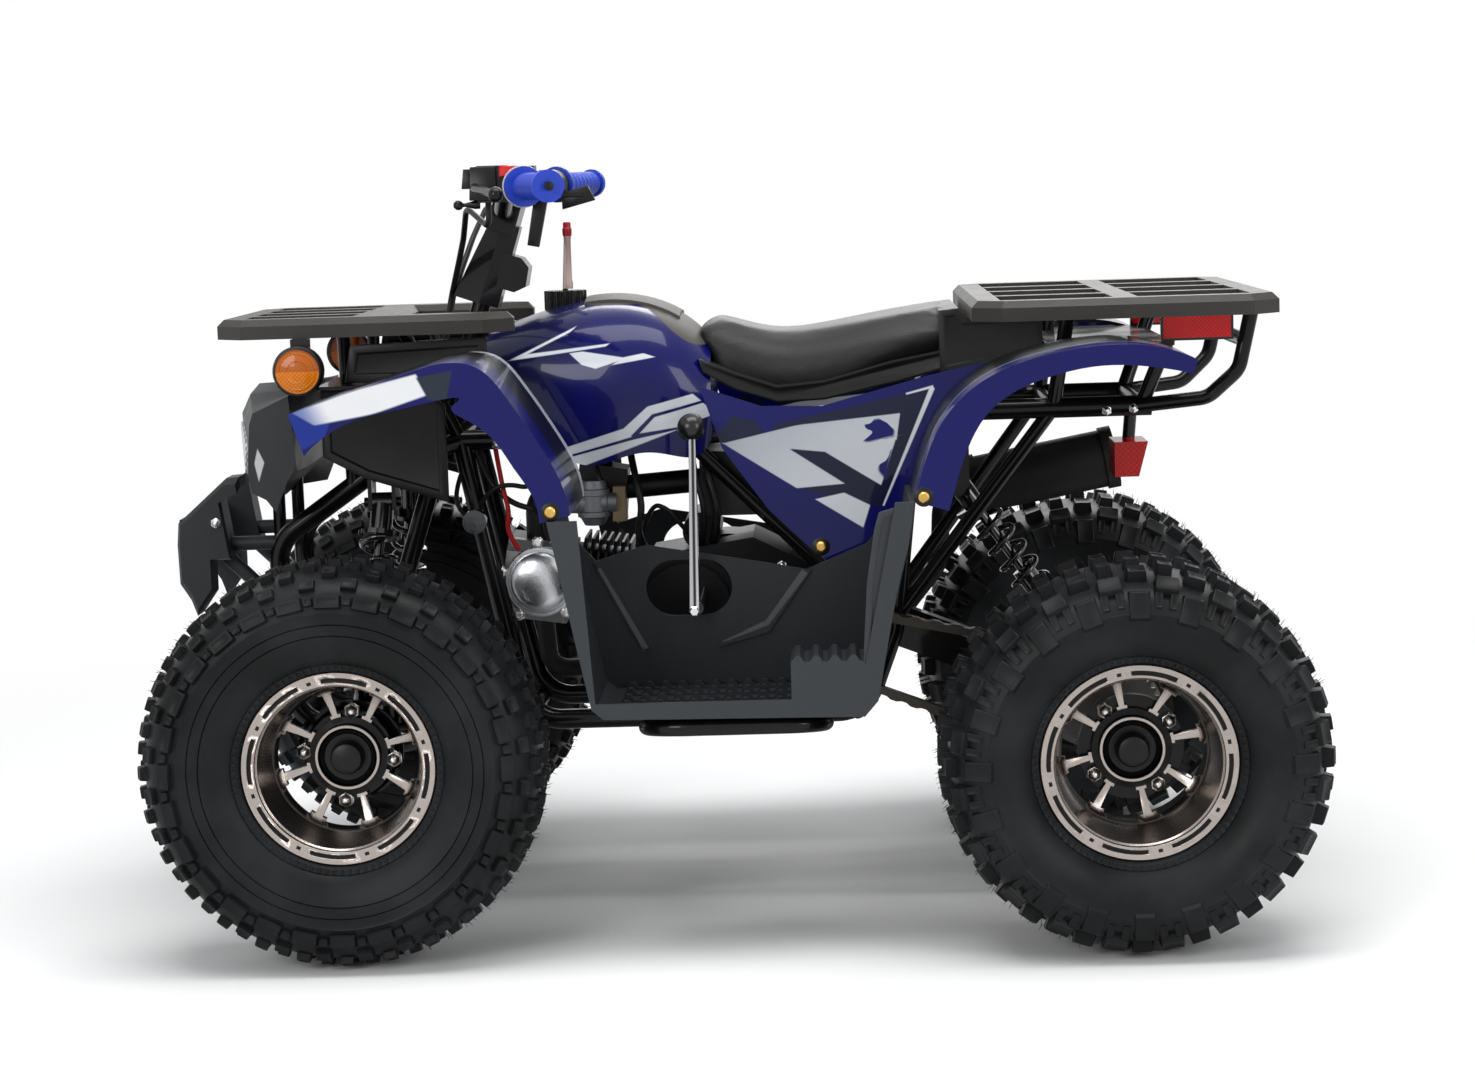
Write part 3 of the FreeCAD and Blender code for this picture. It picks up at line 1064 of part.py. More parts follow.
def engine():
    """Horizontal single: crankcase, round side covers, finned barrel, head and output sprocket."""
    half, core = size.crankcase_half_width, size.case_core_half_width
    front = size.crank_x - size.crankcase_length / 2
    low = size.crank_height - size.crankcase_height / 2
    parts = [slab(spread(CASE_SHARES, front, low, size.crankcase_length, size.crankcase_height), -core, core)]
    left = V(size.crank_x - size.left_cover_setback, 0, size.crank_height)
    right = V(size.crank_x, 0, size.crank_height + size.right_cover_rise)
    for centre, side, radius in ((left, LEFT, size.left_cover_radius), (right, RIGHT, size.right_cover_radius)):
        outward = ACROSS * side
        step = half - size.cover_step
        parts.append(rod(centre, centre + outward * step, radius))
        parts.append(rod(centre, centre + outward * half, radius - size.cover_ring))
    base = V(front + size.cylinder_root, 0, size.crank_height + size.cylinder_rise)
    way = (V(size.head_x, 0, size.head_height) - base).normalize()
    head_start = V(size.head_x, 0, size.head_height) - way * (size.head_length / 2)
    turn = FreeCAD.Rotation(UP, way)
    parts.append(rod(base, head_start, size.cylinder_radius))
    run = (head_start - base).Length
    reach = size.cylinder_radius + size.fin_reach
    fin_outline = square_section(reach, reach, size.head_chamfer)
    for number in range(int(size.fin_count)):
        place = FIN_START_SHARE + FIN_RUN_SHARE * number / size.fin_count
        fin = slab(fin_outline, 0, size.fin_wall, "z")
        fin.Placement = FreeCAD.Placement(base + way * (run * place), turn)
        parts.append(fin)
    head_outline = square_section(size.head_half_height, size.head_half_width, size.head_chamfer)
    head = slab(head_outline, 0, size.head_length, "z")
    head.Placement = FreeCAD.Placement(head_start, turn)
    parts.append(head)
    cover_foot = V(size.head_x, -size.head_half_width, size.head_height)
    cover_tip = cover_foot - ACROSS * size.valve_cover_wall
    parts.append(rod(cover_foot, cover_tip + ACROSS * size.valve_cover_lip, size.valve_cover_radius))
    parts.append(rod(cover_foot, cover_tip, size.valve_cover_radius - size.valve_cover_lip))
    out = V(size.front_sprocket_x, -size.chain_offset, size.front_sprocket_height)
    inner = V(out.x, 0, out.z)
    parts.append(rod(out + ACROSS * size.output_shaft_gap, inner, size.output_shaft_radius))
    parts.append(rod(out - ACROSS * size.front_sprocket_half_width, out + ACROSS * size.output_shaft_gap,
                     size.front_sprocket_radius + size.chain_gap))
    starter = V(size.crank_x - size.starter_setback, 0, size.crank_height + size.starter_rise)
    parts.append(rod(starter - ACROSS * (size.starter_length / 2), starter + ACROSS * (size.starter_length / 2),
                     size.starter_radius))
    return joined(parts)


engine_solid = engine().cut(frame_solid)
feature(engine_solid, "engine")

# Exhaust: header under the engine to the muffler beside the right rear rail
muffler_front = V(REAR_X - size.muffler_setback, size.muffler_half_span, size.muffler_height)
muffler_way = V(size.muffler_length, 0, size.muffler_rise).normalize()
muffler_rear = muffler_front + muffler_way * size.muffler_length


def muffler():
    """Canister with a band at each end and an outlet stub."""
    band = muffler_way * size.muffler_band_width
    collar = size.muffler_radius + size.muffler_band
    return [rod(muffler_front, muffler_rear, size.muffler_radius), rod(muffler_front, muffler_front + band, collar),
            rod(muffler_rear - band, muffler_rear, collar),
            rod(muffler_rear, muffler_rear + muffler_way * size.tailpipe_length, size.tailpipe_radius)]


low_pipe = size.lower_rail_height + size.header_rise
header_side = LOWER + size.frame_tube_radius + 2 * size.header_radius + size.tab_wall
header = tube([
    (size.head_x, size.head_half_width / 2, size.head_height - size.head_half_height + size.overrun),
    (size.head_x, LOWER - size.pivot_lap, low_pipe + size.tab_wall),
    (size.head_x + size.head_length, header_side, low_pipe),
    (size.upper_rail_bend_x, header_side, low_pipe), (PIVOT_X, header_side + size.rack_chamfer, size.stem_foot_height),
    (muffler_front.x - size.muffler_radius, size.muffler_half_span, size.muffler_height - 2 * size.cylinder_radius),
    (muffler_front.x - size.hanger_width, size.muffler_half_span, size.muffler_height - size.control_box_drop),
    muffler_front + muffler_way * size.overrun], size.header_radius, size.header_bend_radius)
feature(minus(joined([header] + muffler()), engine_solid, frame_solid), "exhaust")

# Intake: rubber manifold, carburettor and the air box under the seat
CARB_SHARES = [(0.0, 0.16), (0.91, 0.0), (1.0, 0.86), (0.14, 1.0)]
AIRBOX_SHARES = [(0.0, 0.0), (0.95, 0.0), (1.0, 0.92), (0.0, 1.0)]


def intake():
    """Manifold from the head, through the carburettor to the air box."""
    carb_top = size.carb_foot + size.carb_height
    mouth = V(size.head_x, -size.carb_offset / 2, size.head_height + size.head_half_height - size.overrun)
    bend = mouth + UP * (size.carb_foot + size.carb_height / 2 - mouth.z)
    box_height = size.airbox_foot + size.airbox_height / 2
    pipe = tube([mouth, bend, (size.carb_x + size.carb_length / 2, -size.carb_offset, bend.z),
                 (size.airbox_x + size.pipe_radius, 0, box_height)], size.pipe_radius, size.pipe_bend_radius)
    carb = slab(spread(CARB_SHARES, size.carb_x, size.carb_foot, size.carb_length, size.carb_height),
                -size.carb_offset - size.carb_half_width, size.carb_half_width - size.carb_offset)
    dome_x = size.carb_x + size.carb_length / 2
    dome = rod((dome_x, -size.carb_offset, size.carb_foot), (dome_x, -size.carb_offset, carb_top + size.carb_offset),
               size.pipe_radius)
    box = slab(spread(AIRBOX_SHARES, size.airbox_x, size.airbox_foot, size.airbox_length, size.airbox_height),
               -size.airbox_half_width, size.airbox_half_width)
    return joined([pipe, carb, dome, box])


intake_solid = minus(intake(), engine_solid, frame_solid)
feature(intake_solid, "intake")


# Tank cover, its pad, the filler cap and the seat
def spline(points):
    curve = Part.BSplineCurve()
    curve.interpolate(points)
    return curve.toShape()


def crowned_section(x, half, low, high, section_shares):
    """Smooth arch across the bike at one station, closed by a flat base."""
    right = [V(x, a * half, low + b * (high - low)) for a, b in section_shares]
    left = [V(x, -spot.y, spot.z) for spot in right[1:]]
    points = left[::-1] + right
    return Part.Wire([spline(points), Part.LineSegment(points[-1], points[0]).toShape()])


def station_loft(rows, section_shares):
    return Part.makeLoft([crowned_section(*row, section_shares) for row in rows], True, False)


TANK_SECTION_SHARES = [(0.0, 1.0), (0.45, 0.97), (0.80, 0.86), (0.98, 0.62), (0.99, 0.30), (0.92, 0.0)]
TANK_SHARES = [(0.0, 0.60, 0.862, 0.950), (0.125, 0.77, 0.816, 0.967), (0.304, 0.918, 0.757, 0.987),
               (0.5, 0.98, 0.737, 1.0), (0.679, 1.0, 0.754, 0.996), (0.839, 0.95, 0.747, 0.975),
               (1.0, 0.81, 0.776, 0.921)]


def tank_rows(skin):
    """Stations of the tank cover, grown outwards by a skin."""
    return [(size.tank_front_x + a * size.tank_length, b * size.tank_half_width + skin,
             c * size.tank_height, d * size.tank_height + skin) for a, b, c, d in TANK_SHARES]


column_clear = rod(on_stem(size.nose_hoop_height), STEM_TOP, size.cowl_foot_front)
pad_reach = size.tank_pad_front_x + size.tank_pad_length
pad_block = block((size.tank_pad_front_x, -size.tank_pad_half_width, size.upper_rail_height),
                  (pad_reach, size.tank_pad_half_width, 2 * size.tank_height))
tank_pad = station_loft(tank_rows(size.tank_pad_wall), TANK_SECTION_SHARES).common(pad_block)
tank_body = joined([station_loft(tank_rows(0), TANK_SECTION_SHARES), tank_pad])
tank = main_solid(minus(tank_body, frame_solid, intake_solid, column_clear))
feature(tank, "tank_cover")
cap_foot = V(size.cap_x, 0, size.cap_foot_height)
cap_top = cap_foot + UP * size.cap_height
vent = [cap_top - UP * size.overrun, cap_top + V(size.vent_lean, 0, size.vent_length)]
cap_parts = [rod(cap_foot, cap_top, size.cap_radius), rod(*vent, size.vent_radius)]
for number in range(12):
    turn = 2 * math.pi * number / 12
    spot = cap_foot + V(math.cos(turn), math.sin(turn), 0) * size.cap_radius
    cap_parts.append(rod(spot, spot + UP * size.cap_height, size.overrun))
cap = joined(cap_parts).cut(tank)
feature(main_solid(cap), "fuel_cap")

SEAT_SECTION_SHARES = [(0.0, 1.0), (0.5, 0.985), (0.86, 0.86), (1.0, 0.52), (0.95, 0.14), (0.86, 0.0)]
SEAT_SHARES = [(0.0, 0.60, 0.940, 0.982), (0.07, 0.72, 0.908, 0.993), (0.26, 0.84, 0.866, 0.970),
               (0.44, 0.93, 0.859, 0.967), (0.64, 1.0, 0.884, 0.981), (0.84, 1.0, 0.912, 0.995),
               (1.0, 0.94, 0.938, 1.006)]
seat_rows = [(size.seat_front_x + a * size.seat_length, b * size.seat_half_width,
              c * size.seat_height, d * size.seat_height) for a, b, c, d in SEAT_SHARES]
tank_grown = station_loft(tank_rows(size.tank_pad_wall + size.seat_gap), TANK_SECTION_SHARES)
seat = main_solid(minus(station_loft(seat_rows, SEAT_SECTION_SHARES), frame_solid, tank_grown))
feature(seat, "seat")


# Fenders
def band(path, depths):
    """Face between a side-view path and the same path moved inwards by a depth at each point."""
    outer, inner = [], []
    for number, (x, z) in enumerate(path):
        before, after = path[max(number - 1, 0)], path[min(number + 1, len(path) - 1)]
        way = V(after[0] - before[0], 0, after[1] - before[1]).normalize()
        outer.append(V(x, 0, z))
        inner.append(V(x, 0, z) + V(way.z, 0, -way.x) * depths[number])
    edges = [spline(outer), Part.LineSegment(outer[-1], inner[-1]).toShape(), spline(inner[::-1]),
             Part.LineSegment(inner[0], outer[0]).toShape()]
    return Part.Face(Part.Wire(edges))


def edge_panel(places, lip_shares, inner_half, outer_half):
    """Moulded strip on the left along a side-view path: a top skin with a turned-down outer lip."""
    wall = size.panel_wall
    skin = band(places, [wall] * len(places))
    skin.translate(ACROSS * -outer_half)
    lip = band(places, [size.fender_flange * share for share in lip_shares])
    lip.translate(ACROSS * -outer_half)
    return joined([skin.extrude(ACROSS * (outer_half - inner_half)), lip.extrude(ACROSS * wall)])


FRONT_PATH_SHARES = [(0.0, 0.692), (0.185, 0.802), (0.404, 0.912), (0.599, 0.989), (0.683, 0.956),
                     (0.781, 0.780), (0.912, 0.423), (0.972, 0.220), (1.0, 0.0)]
FRONT_LIP_SHARES = [1.1, 0.72, 0.80, 0.98, 1.15, 1.1, 0.86, 0.8, 0.78]
fender_front = FRONT_X - size.front_fender_reach
front_path = spread(FRONT_PATH_SHARES, fender_front, size.footwell_top_height,
                    size.leg_foot_x - fender_front, size.fender_peak_height - size.footwell_top_height)
front_wing = edge_panel(front_path, FRONT_LIP_SHARES, size.fender_inner_half_span, size.fender_half_span)
deck_front = FRONT_X - size.cowl_deck_reach
deck_half = size.fender_inner_half_span + size.panel_wall
front_deck = block((deck_front, -deck_half, size.cowl_deck_height),
                   (deck_front + size.cowl_deck_length, deck_half, size.cowl_deck_height + size.cowl_deck_wall))
front_fender = minus(joined([front_wing, mirrored(front_wing), front_deck]), tank, frame_solid)
feature(front_fender, "front_fender")

REAR_PATH_SHARES = [(0.0, 0.0), (0.040, 0.256), (0.101, 0.512), (0.218, 0.750), (0.482, 0.953),
                    (0.653, 1.0), (0.828, 0.994), (1.0, 0.890)]
REAR_LIP_SHARES = [0.9, 0.9, 0.86, 0.72, 0.54, 0.50, 0.52, 0.36]
rear_foot_height = size.footwell_foot + size.footwell_height
rear_path = spread(REAR_PATH_SHARES, size.rear_leg_foot_x, rear_foot_height,
                   REAR_X + size.rear_fender_reach - size.rear_leg_foot_x, size.rear_peak_height - rear_foot_height)
rear_wing = edge_panel(rear_path, REAR_LIP_SHARES, size.side_panel_half_span + size.seat_gap, size.fender_half_span)
rear_deck = block((REAR_X - size.rear_deck_setback, -size.rear_deck_half_width, size.rear_deck_height),
                  (REAR_X + size.rear_deck_reach, size.rear_deck_half_width, size.rear_deck_height + size.panel_wall))
rear_fender = minus(joined([rear_wing, mirrored(rear_wing), rear_deck]), seat, frame_solid)
feature(rear_fender, "rear_fender")

# Side panels: one bowed sheet trimmed to the outline under the seat
SIDE_SHARES = [(0.0, 0.911), (0.213, 0.805), (0.425, 0.797), (0.782, 0.932), (1.0, 1.0), (0.905, 0.826),
               (0.839, 0.686), (0.733, 0.280), (0.609, 0.081), (0.434, 0.0), (0.382, 0.055), (0.230, 0.275),
               (0.075, 0.593)]
SHEET_SHARES = [(-0.05, 0.20, 0.10, 0.10), (0.45, 0.35, 0.0, 0.05), (1.05, 1.0, 0.55, 0.30)]
SHEET_STATION_SHARES = (-0.05, 0.5, 1.05)


def side_panel():
    """Trim panel on the left, bowed in towards the tank and the seat."""
    levels = []
    for rise, *tucks in SHEET_SHARES:
        height = size.side_panel_foot + rise * size.side_panel_height
        outer = [V(size.side_panel_front_x + share * size.side_panel_length,
                   tuck * size.side_panel_tuck - size.side_panel_half_span, height)
                 for share, tuck in zip(SHEET_STATION_SHARES, tucks)]
        inner = [spot + ACROSS * size.panel_wall for spot in outer]
        levels.append(Part.Wire([spline(outer), Part.LineSegment(outer[-1], inner[-1]).toShape(),
                                 spline(inner[::-1]), Part.LineSegment(inner[0], outer[0]).toShape()]))
    sheet_solid = Part.makeLoft(levels, True, False)
    outline = spread(SIDE_SHARES, size.side_panel_front_x, size.side_panel_foot,
                     size.side_panel_length, size.side_panel_height)
    return sheet_solid.common(slab(outline, 0, -size.footwell_half_span))


panel = main_solid(minus(side_panel(), seat, tank, frame_solid, rear_fender))
mirror_of(feature(panel, "side_panel_left"), "side_panel_right")

# Footwells
TUB_SHARES = [(0.019, 0.957), (0.121, 0.094), (0.153, 0.047), (0.854, 0.031), (0.891, 0.102),
              (0.947, 0.596), (0.984, 0.827), (1.0, 1.0)]
TUB_INNER_SHARES = [(0.986, 1.0), (0.970, 0.831), (0.933, 0.604), (0.877, 0.118), (0.845, 0.055),
                    (0.162, 0.067), (0.135, 0.102), (0.032, 0.957)]
LIP_INNER_SHARES = [(0.949, 1.0), (0.900, 0.604), (0.840, 0.118), (0.132, 0.118), (0.100, 0.957)]
WALL_SHARES = [(0.051, 0.800), (0.114, 0.678), (0.255, 0.749), (0.561, 0.659), (0.705, 0.612),
               (0.875, 0.729), (0.933, 0.835), (0.880, 0.110), (0.848, 0.043), (0.158, 0.055), (0.130, 0.098)]
FRONT_RIB_SHARES = [(0.107, 0.678), (0.130, 0.678), (0.260, 0.255), (0.237, 0.255)]
REAR_RIB_SHARES = [(0.691, 0.612), (0.719, 0.612), (0.594, 0.318), (0.455, 0.255), (0.455, 0.290), (0.575, 0.353)]


def toothed_strip(start, base, length, height, pitch, tooth):
    """Side outline of a bar with a sawtooth tread along its top."""
    count = int(length / pitch)
    step = length / count
    top = base + height
    points = [(start, base)]
    for number in range(count):
        low = start + number * step
        points += [(low, top - tooth), (low + step / 4, top), (low + step / 2, top), (low + 3 * step / 4, top - tooth)]
    return points + [(start + length, top - tooth), (start + length, base)]


def footwell():
    """Moulded tub on the left: floor, front and rear posts, outer lip, ribbed wall, tread and raised step."""
    outer, inner = -size.footwell_half_span, -size.footwell_inner_half_span

    def tub(shares):
        return spread(shares, size.footwell_front_x, size.footwell_foot, size.footwell_length, size.footwell_height)
    parts = [slab(tub(TUB_SHARES + TUB_INNER_SHARES), outer, inner),
             slab(tub(TUB_SHARES + LIP_INNER_SHARES), outer, outer + size.footwell_lip_wall)]
    wall = slab(tub(WALL_SHARES), inner, inner - size.panel_wall)
    hole = V(size.footwell_hole_x, inner, size.footwell_hole_height)
    run = BACK * size.footwell_hole_half_run
    through = ACROSS * (size.panel_wall + size.overrun)
    radius = size.footwell_hole_radius
    slot = joined([rod(hole + run - through, hole + run + through, radius),
                   rod(hole - run - through, hole - run + through, radius),
                   block(hole - run - through - UP * radius, hole + run + through + UP * radius)])
    parts.append(wall.cut(slot))
    for shares in (FRONT_RIB_SHARES, REAR_RIB_SHARES):
        parts.append(slab(tub(shares), inner - size.panel_wall, inner - size.panel_wall - size.footwell_rib))
    step = toothed_strip(size.step_x, size.step_foot, size.step_length, size.step_height,
                         size.tread_pitch, size.tread_height)
    parts.append(slab(step, outer, outer + size.step_depth))
    tread = toothed_strip(size.tread_x, size.tread_foot, size.tread_length, 2 * size.tread_height,
                          size.tread_pitch, size.tread_height)
    for row in range(1, 5):
        low = outer + row * 2 * (size.tread_width + size.tread_inset)
        parts.append(slab(tread, low, low + size.tread_width))
    return joined(parts).cut(frame_solid)


mirror_of(feature(footwell(), "footwell_left"), "footwell_right")

# Racks
SLOT_SPLIT_SHARES = (0.46, 0.54)


def rack(label, front, length, half, notch_half, notch_depth):
    """Moulded deck with a chamfered top edge, a notch for the column and rows of slots."""
    body = doc.addObject("PartDesign::Body", label)
    plan = new_sketch(body, "XY_Plane", label + "_plan", "sizes.rack_height - sizes.rack_wall")
    corner = size.rack_rim_width
    rear = front + length
    notch = []
    if notch_depth:
        notch = [(rear, -notch_half), (rear - notch_depth, -notch_half), (rear - notch_depth, notch_half),
                 (rear, notch_half)]
    add_outline(plan, [(front, corner - half), (front + corner, -half), (rear - corner, -half), (rear, corner - half)]
                + notch + [(rear, half - corner), (rear - corner, half), (front + corner, half), (front, half - corner)])
    deck = pad(body, plan, label + "_deck", "sizes.rack_wall")
    doc.recompute()
    top_edges = [f"Edge{number}" for number, edge in enumerate(deck.Shape.Edges, start=1)
                 if min(vertex.Z for vertex in edge.Vertexes) > size.rack_height - size.running_gap]
    chamfer = body.newObject("PartDesign::Chamfer", label + "_chamfer")
    chamfer.Base = (deck, top_edges)
    chamfer.setExpression("Size", "sizes.rack_chamfer")
    slots = new_sketch(body, "XY_Plane", label + "_slots", "sizes.rack_height - sizes.rack_wall")
    inset = size.rack_rim_width
    pitch = (2 * half - 2 * inset + size.rack_bar_width) / size.rack_slot_rows
    columns = ((front + inset, front + length * SLOT_SPLIT_SHARES[0]),
               (front + length * SLOT_SPLIT_SHARES[1], rear - inset))
    for number in range(int(size.rack_slot_rows)):
        low = inset - half + number * pitch
        for start, end in columns:
            if not notch_depth or end < rear - notch_depth:
                add_outline(slots, [(start, low), (end, low), (end, low + pitch - size.rack_bar_width),
                                    (start, low + pitch - size.rack_bar_width)])
    pocket_through(body, slots, label + "_openings")
    doc.recompute()
    return keep(body, label)


front_rack = rack("front_rack", FRONT_X - size.front_rack_reach, size.front_rack_length,
                  size.front_rack_half_width, size.rack_notch_half_width, size.rack_notch_depth)
rear_rack = rack("rear_rack", REAR_X - size.rear_rack_setback, size.rear_rack_length,
                 size.rear_rack_half_width, 0, 0)

# Bumper
BUMPER_SHARES = [(0.042, 0.676), (0.790, 0.994), (0.976, 1.0), (0.988, 0.925), (0.679, 0.850), (0.821, 0.405),
                 (0.50, 0.399), (0.50, 0.162), (0.262, 0.0), (0.179, 0.116), (0.024, 0.237), (0.012, 0.520)]
BEAM_SHARES = [(0.012, 0.500), (0.060, 0.700), (0.280, 0.720), (0.250, 0.330), (0.036, 0.290)]
BEVEL_SHARE = 0.9


def bumper():
    """Moulded side plates with bevelled outer faces, a front beam and stays to the nose loops."""
    front = FRONT_X - size.bumper_reach

    def place(shares):
        return spread(shares, front, size.bumper_foot, size.bumper_length, size.bumper_height)
    outline = place(BUMPER_SHARES)
    outer = -size.bumper_half_span
    shoulder = outer + size.bumper_bevel
    plate = slab(outline, shoulder, outer + size.bumper_plate_width)
    centre_x = sum(x for x, z in outline) / len(outline)
    centre_z = sum(z for x, z in outline) / len(outline)
    small = [V(centre_x + (x - centre_x) * BEVEL_SHARE, outer, centre_z + (z - centre_z) * BEVEL_SHARE)
             for x, z in outline]
    large = [V(x, shoulder, z) for x, z in outline]
    bevel = Part.makeLoft([Part.makePolygon(small + small[:1]), Part.makePolygon(large + large[:1])], True, True)
    y = -size.bumper_stay_half_span
    stay_x = front + size.bumper_length / 2
    upper = rod((stay_x, y, size.nose_hoop_height), (HOOP_X, y, size.nose_hoop_height), size.bumper_stay_radius)
    lower = rod((stay_x, y, size.nose_hoop_height), (NOSE_X, y, size.nose_hoop_height - size.bumper_stay_drop),
                size.bumper_stay_radius)
    side = joined([plate, bevel, upper, lower])
    beam = slab(place(BEAM_SHARES), shoulder, -shoulder)
    return joined([side, mirrored(side), beam])


feature(main_solid(bumper().cut(frame_solid)), "front_bumper")


def grab_loop():
    """Tube from each seat rail up to the rear rack, with a bar across."""
    foot = size.rear_rail_height
    left = [(REAR_X + size.loop_start_reach, -size.loop_foot_half_span, foot),
            (REAR_X + size.loop_knee_reach, -size.loop_half_span + size.loop_radius, foot + size.loop_radius),
            (REAR_X + size.loop_reach - size.muffler_band_width, -size.loop_half_span, foot + size.loop_corner_rise),
            (REAR_X + size.loop_reach, -size.loop_half_span, foot + size.loop_rise)]
    arm = tube(left, size.loop_radius, size.loop_bend_radius)
    bar = cross(REAR_X + size.loop_reach - size.loop_radius, size.loop_half_span, foot + size.loop_bar_rise,
                size.loop_radius)
    return joined([arm, mirrored(arm), bar])


racks = Part.makeCompound([front_rack.Shape, rear_rack.Shape])
feature(main_solid(minus(grab_loop(), frame_solid, racks)), "grab_loop")

# Nose mask and headlamps
MASK_SHARES = {
    "side": [(0.82, 0.948), (0.38, 0.817), (0.33, 0.719), (0.29, 0.314), (0.33, 0.183), (0.50, 0.124),
             (0.61, 0.026), (0.88, 0.444)],
    "middle": [(0.92, 0.974), (0.18, 0.928), (0.07, 0.778), (0.08, 0.556), (0.14, 0.294), (0.20, 0.176),
               (0.37, 0.052), (0.72, 0.294)],
    "centre": [(0.97, 1.0), (0.12, 0.974), (0.0, 0.817), (0.0, 0.556), (0.06, 0.294), (0.14, 0.098),
               (0.32, 0.0), (0.67, 0.261)],
}
LENS_SHARES = [(0.96, 0.340), (0.96, 0.500), (0.90, 0.600), (0.60, 0.719), (0.28, 0.600), (0.36, 0.400), (0.65, 0.300)]


def mask_loft(forward):
    """Faceted nose shell across the bike, moved forward by a skin."""
    sections = []
    for name, y in (("side", -size.mask_half_span), ("middle", -size.mask_mid_half_span), ("centre", 0),
                    ("middle", size.mask_mid_half_span), ("side", size.mask_half_span)):
        outline = spread(MASK_SHARES[name], FRONT_X - size.mask_reach - forward, size.mask_foot,
                         size.mask_length, size.mask_height)
        corners = [V(x, y, z) for x, z in outline]
        sections.append(Part.makePolygon(corners + corners[:1]))
    return Part.makeLoft(sections, True, True)


mask = minus(mask_loft(0), frame_solid, front_fender)
feature(main_solid(mask), "front_mask")
lens_outline = [(-a * size.mask_half_span, size.mask_foot + b * size.mask_height) for a, b in LENS_SHARES]
lens_block = slab(lens_outline, FRONT_X - size.bumper_reach, FRONT_X - size.mask_reach + size.mask_length / 2, "x")
lens = minus(mask_loft(size.headlight_wall), mask_loft(0)).common(lens_block)
feature(pair(main_solid(lens)), "headlights")


# Reflectors, tail lamp, shift lever and horn
def amber_reflector():
    """Round side reflector on a bracket under the front rack."""
    centre = V(FRONT_X - size.reflector_reach, -size.reflector_half_span, size.reflector_height)
    body = rod(centre, centre - ACROSS * size.reflector_wall, size.reflector_radius)
    half = size.reflector_bracket / 2
    bracket = block((centre.x - half, centre.y, centre.z - half),
                    (centre.x + half, centre.y + size.reflector_bracket_depth, UNDER_RACK))
    return joined([body, bracket])


feature(pair(amber_reflector()), "amber_reflectors")
red_front = REAR_X + size.red_setback
red_foot = size.rear_deck_height + size.panel_wall
red = block((red_front, -size.red_half_span, red_foot),
            (red_front + size.red_length, -size.red_half_span - size.red_wall, red_foot + size.red_height))
feature(pair(red), "red_reflectors")


def tail_light():
    """Lamp with a raked lens on a stem from the rear cross bar."""
    front = REAR_X + size.tail_setback
    top = size.tail_foot + size.tail_height
    outline = [(front, size.tail_foot), (front + size.tail_length - size.tail_slope, size.tail_foot),
               (front + size.tail_length, top), (front, top)]
    lamp = slab(outline, -size.tail_half_width, size.tail_half_width)
    stem = rod((front + size.tail_length / 2, 0, top - size.overrun),
               (TAIL_X - size.rear_cross_inset, 0, size.rear_rail_height), size.tail_stem_radius)
    return joined([lamp, stem]).cut(frame_solid)


feature(main_solid(tail_light()), "tail_light")


def shift_lever():
    """Straight rod with a ball knob, on a shaft out of the left engine cover."""
    foot = V(size.shift_x, -size.shift_half_span, size.shift_height)
    knob = foot + UP * size.shift_length
    shaft = rod((foot.x, -size.case_core_half_width, foot.z), foot - ACROSS * (size.shift_rod_radius + size.overrun),
                size.shift_shaft_radius)
    lever = rod(foot - UP * size.shift_foot, knob, size.shift_rod_radius)
    return minus(joined([shaft, lever, Part.makeSphere(size.knob_radius, knob)]), engine_solid)


feature(main_solid(shift_lever()), "shift_lever")
horn_x = FRONT_X + size.horn_setback
horn = rod((horn_x, -size.horn_half_span, size.horn_height),
           (horn_x, size.horn_depth - size.horn_half_span, size.horn_height), size.horn_radius)
feature(main_solid(horn.cut(frame_solid)), "horn")

doc.recompute()

# Every object must be whole before anything is written
for item in doc.Objects:
    if "Invalid" in item.State or "Error" in item.State:
        raise RuntimeError(f"{item.Label} failed: {item.State}")
for piece in pieces:
    if piece.Shape.isNull() or not piece.Shape.isValid():
        raise RuntimeError(f"{piece.Label} has no valid shape")

os.makedirs("parts", exist_ok=True)
for piece in pieces:
    piece.Shape.exportStep(f"parts/{piece.Label}.step")
    print(piece.Label, len(piece.Shape.Solids), round(piece.Shape.Volume / 1000))
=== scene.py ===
# %% [markdown]
# # A small utility quad bike, dressed in Blender
# The solids of this quad come from CAD and are loaded as a fixed frame. This notebook gives
# every solid its finish and adds what a CAD model leaves plain: sewn vinyl, moulded tread,
# fasteners, hoses and lamps. Everything is in metres, +X to the rear and -Y to the left side.
# Outlines are listed in millimetres, and scaled where they are used.

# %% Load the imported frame
import math
import bpy
from mathutils import Matrix, Vector


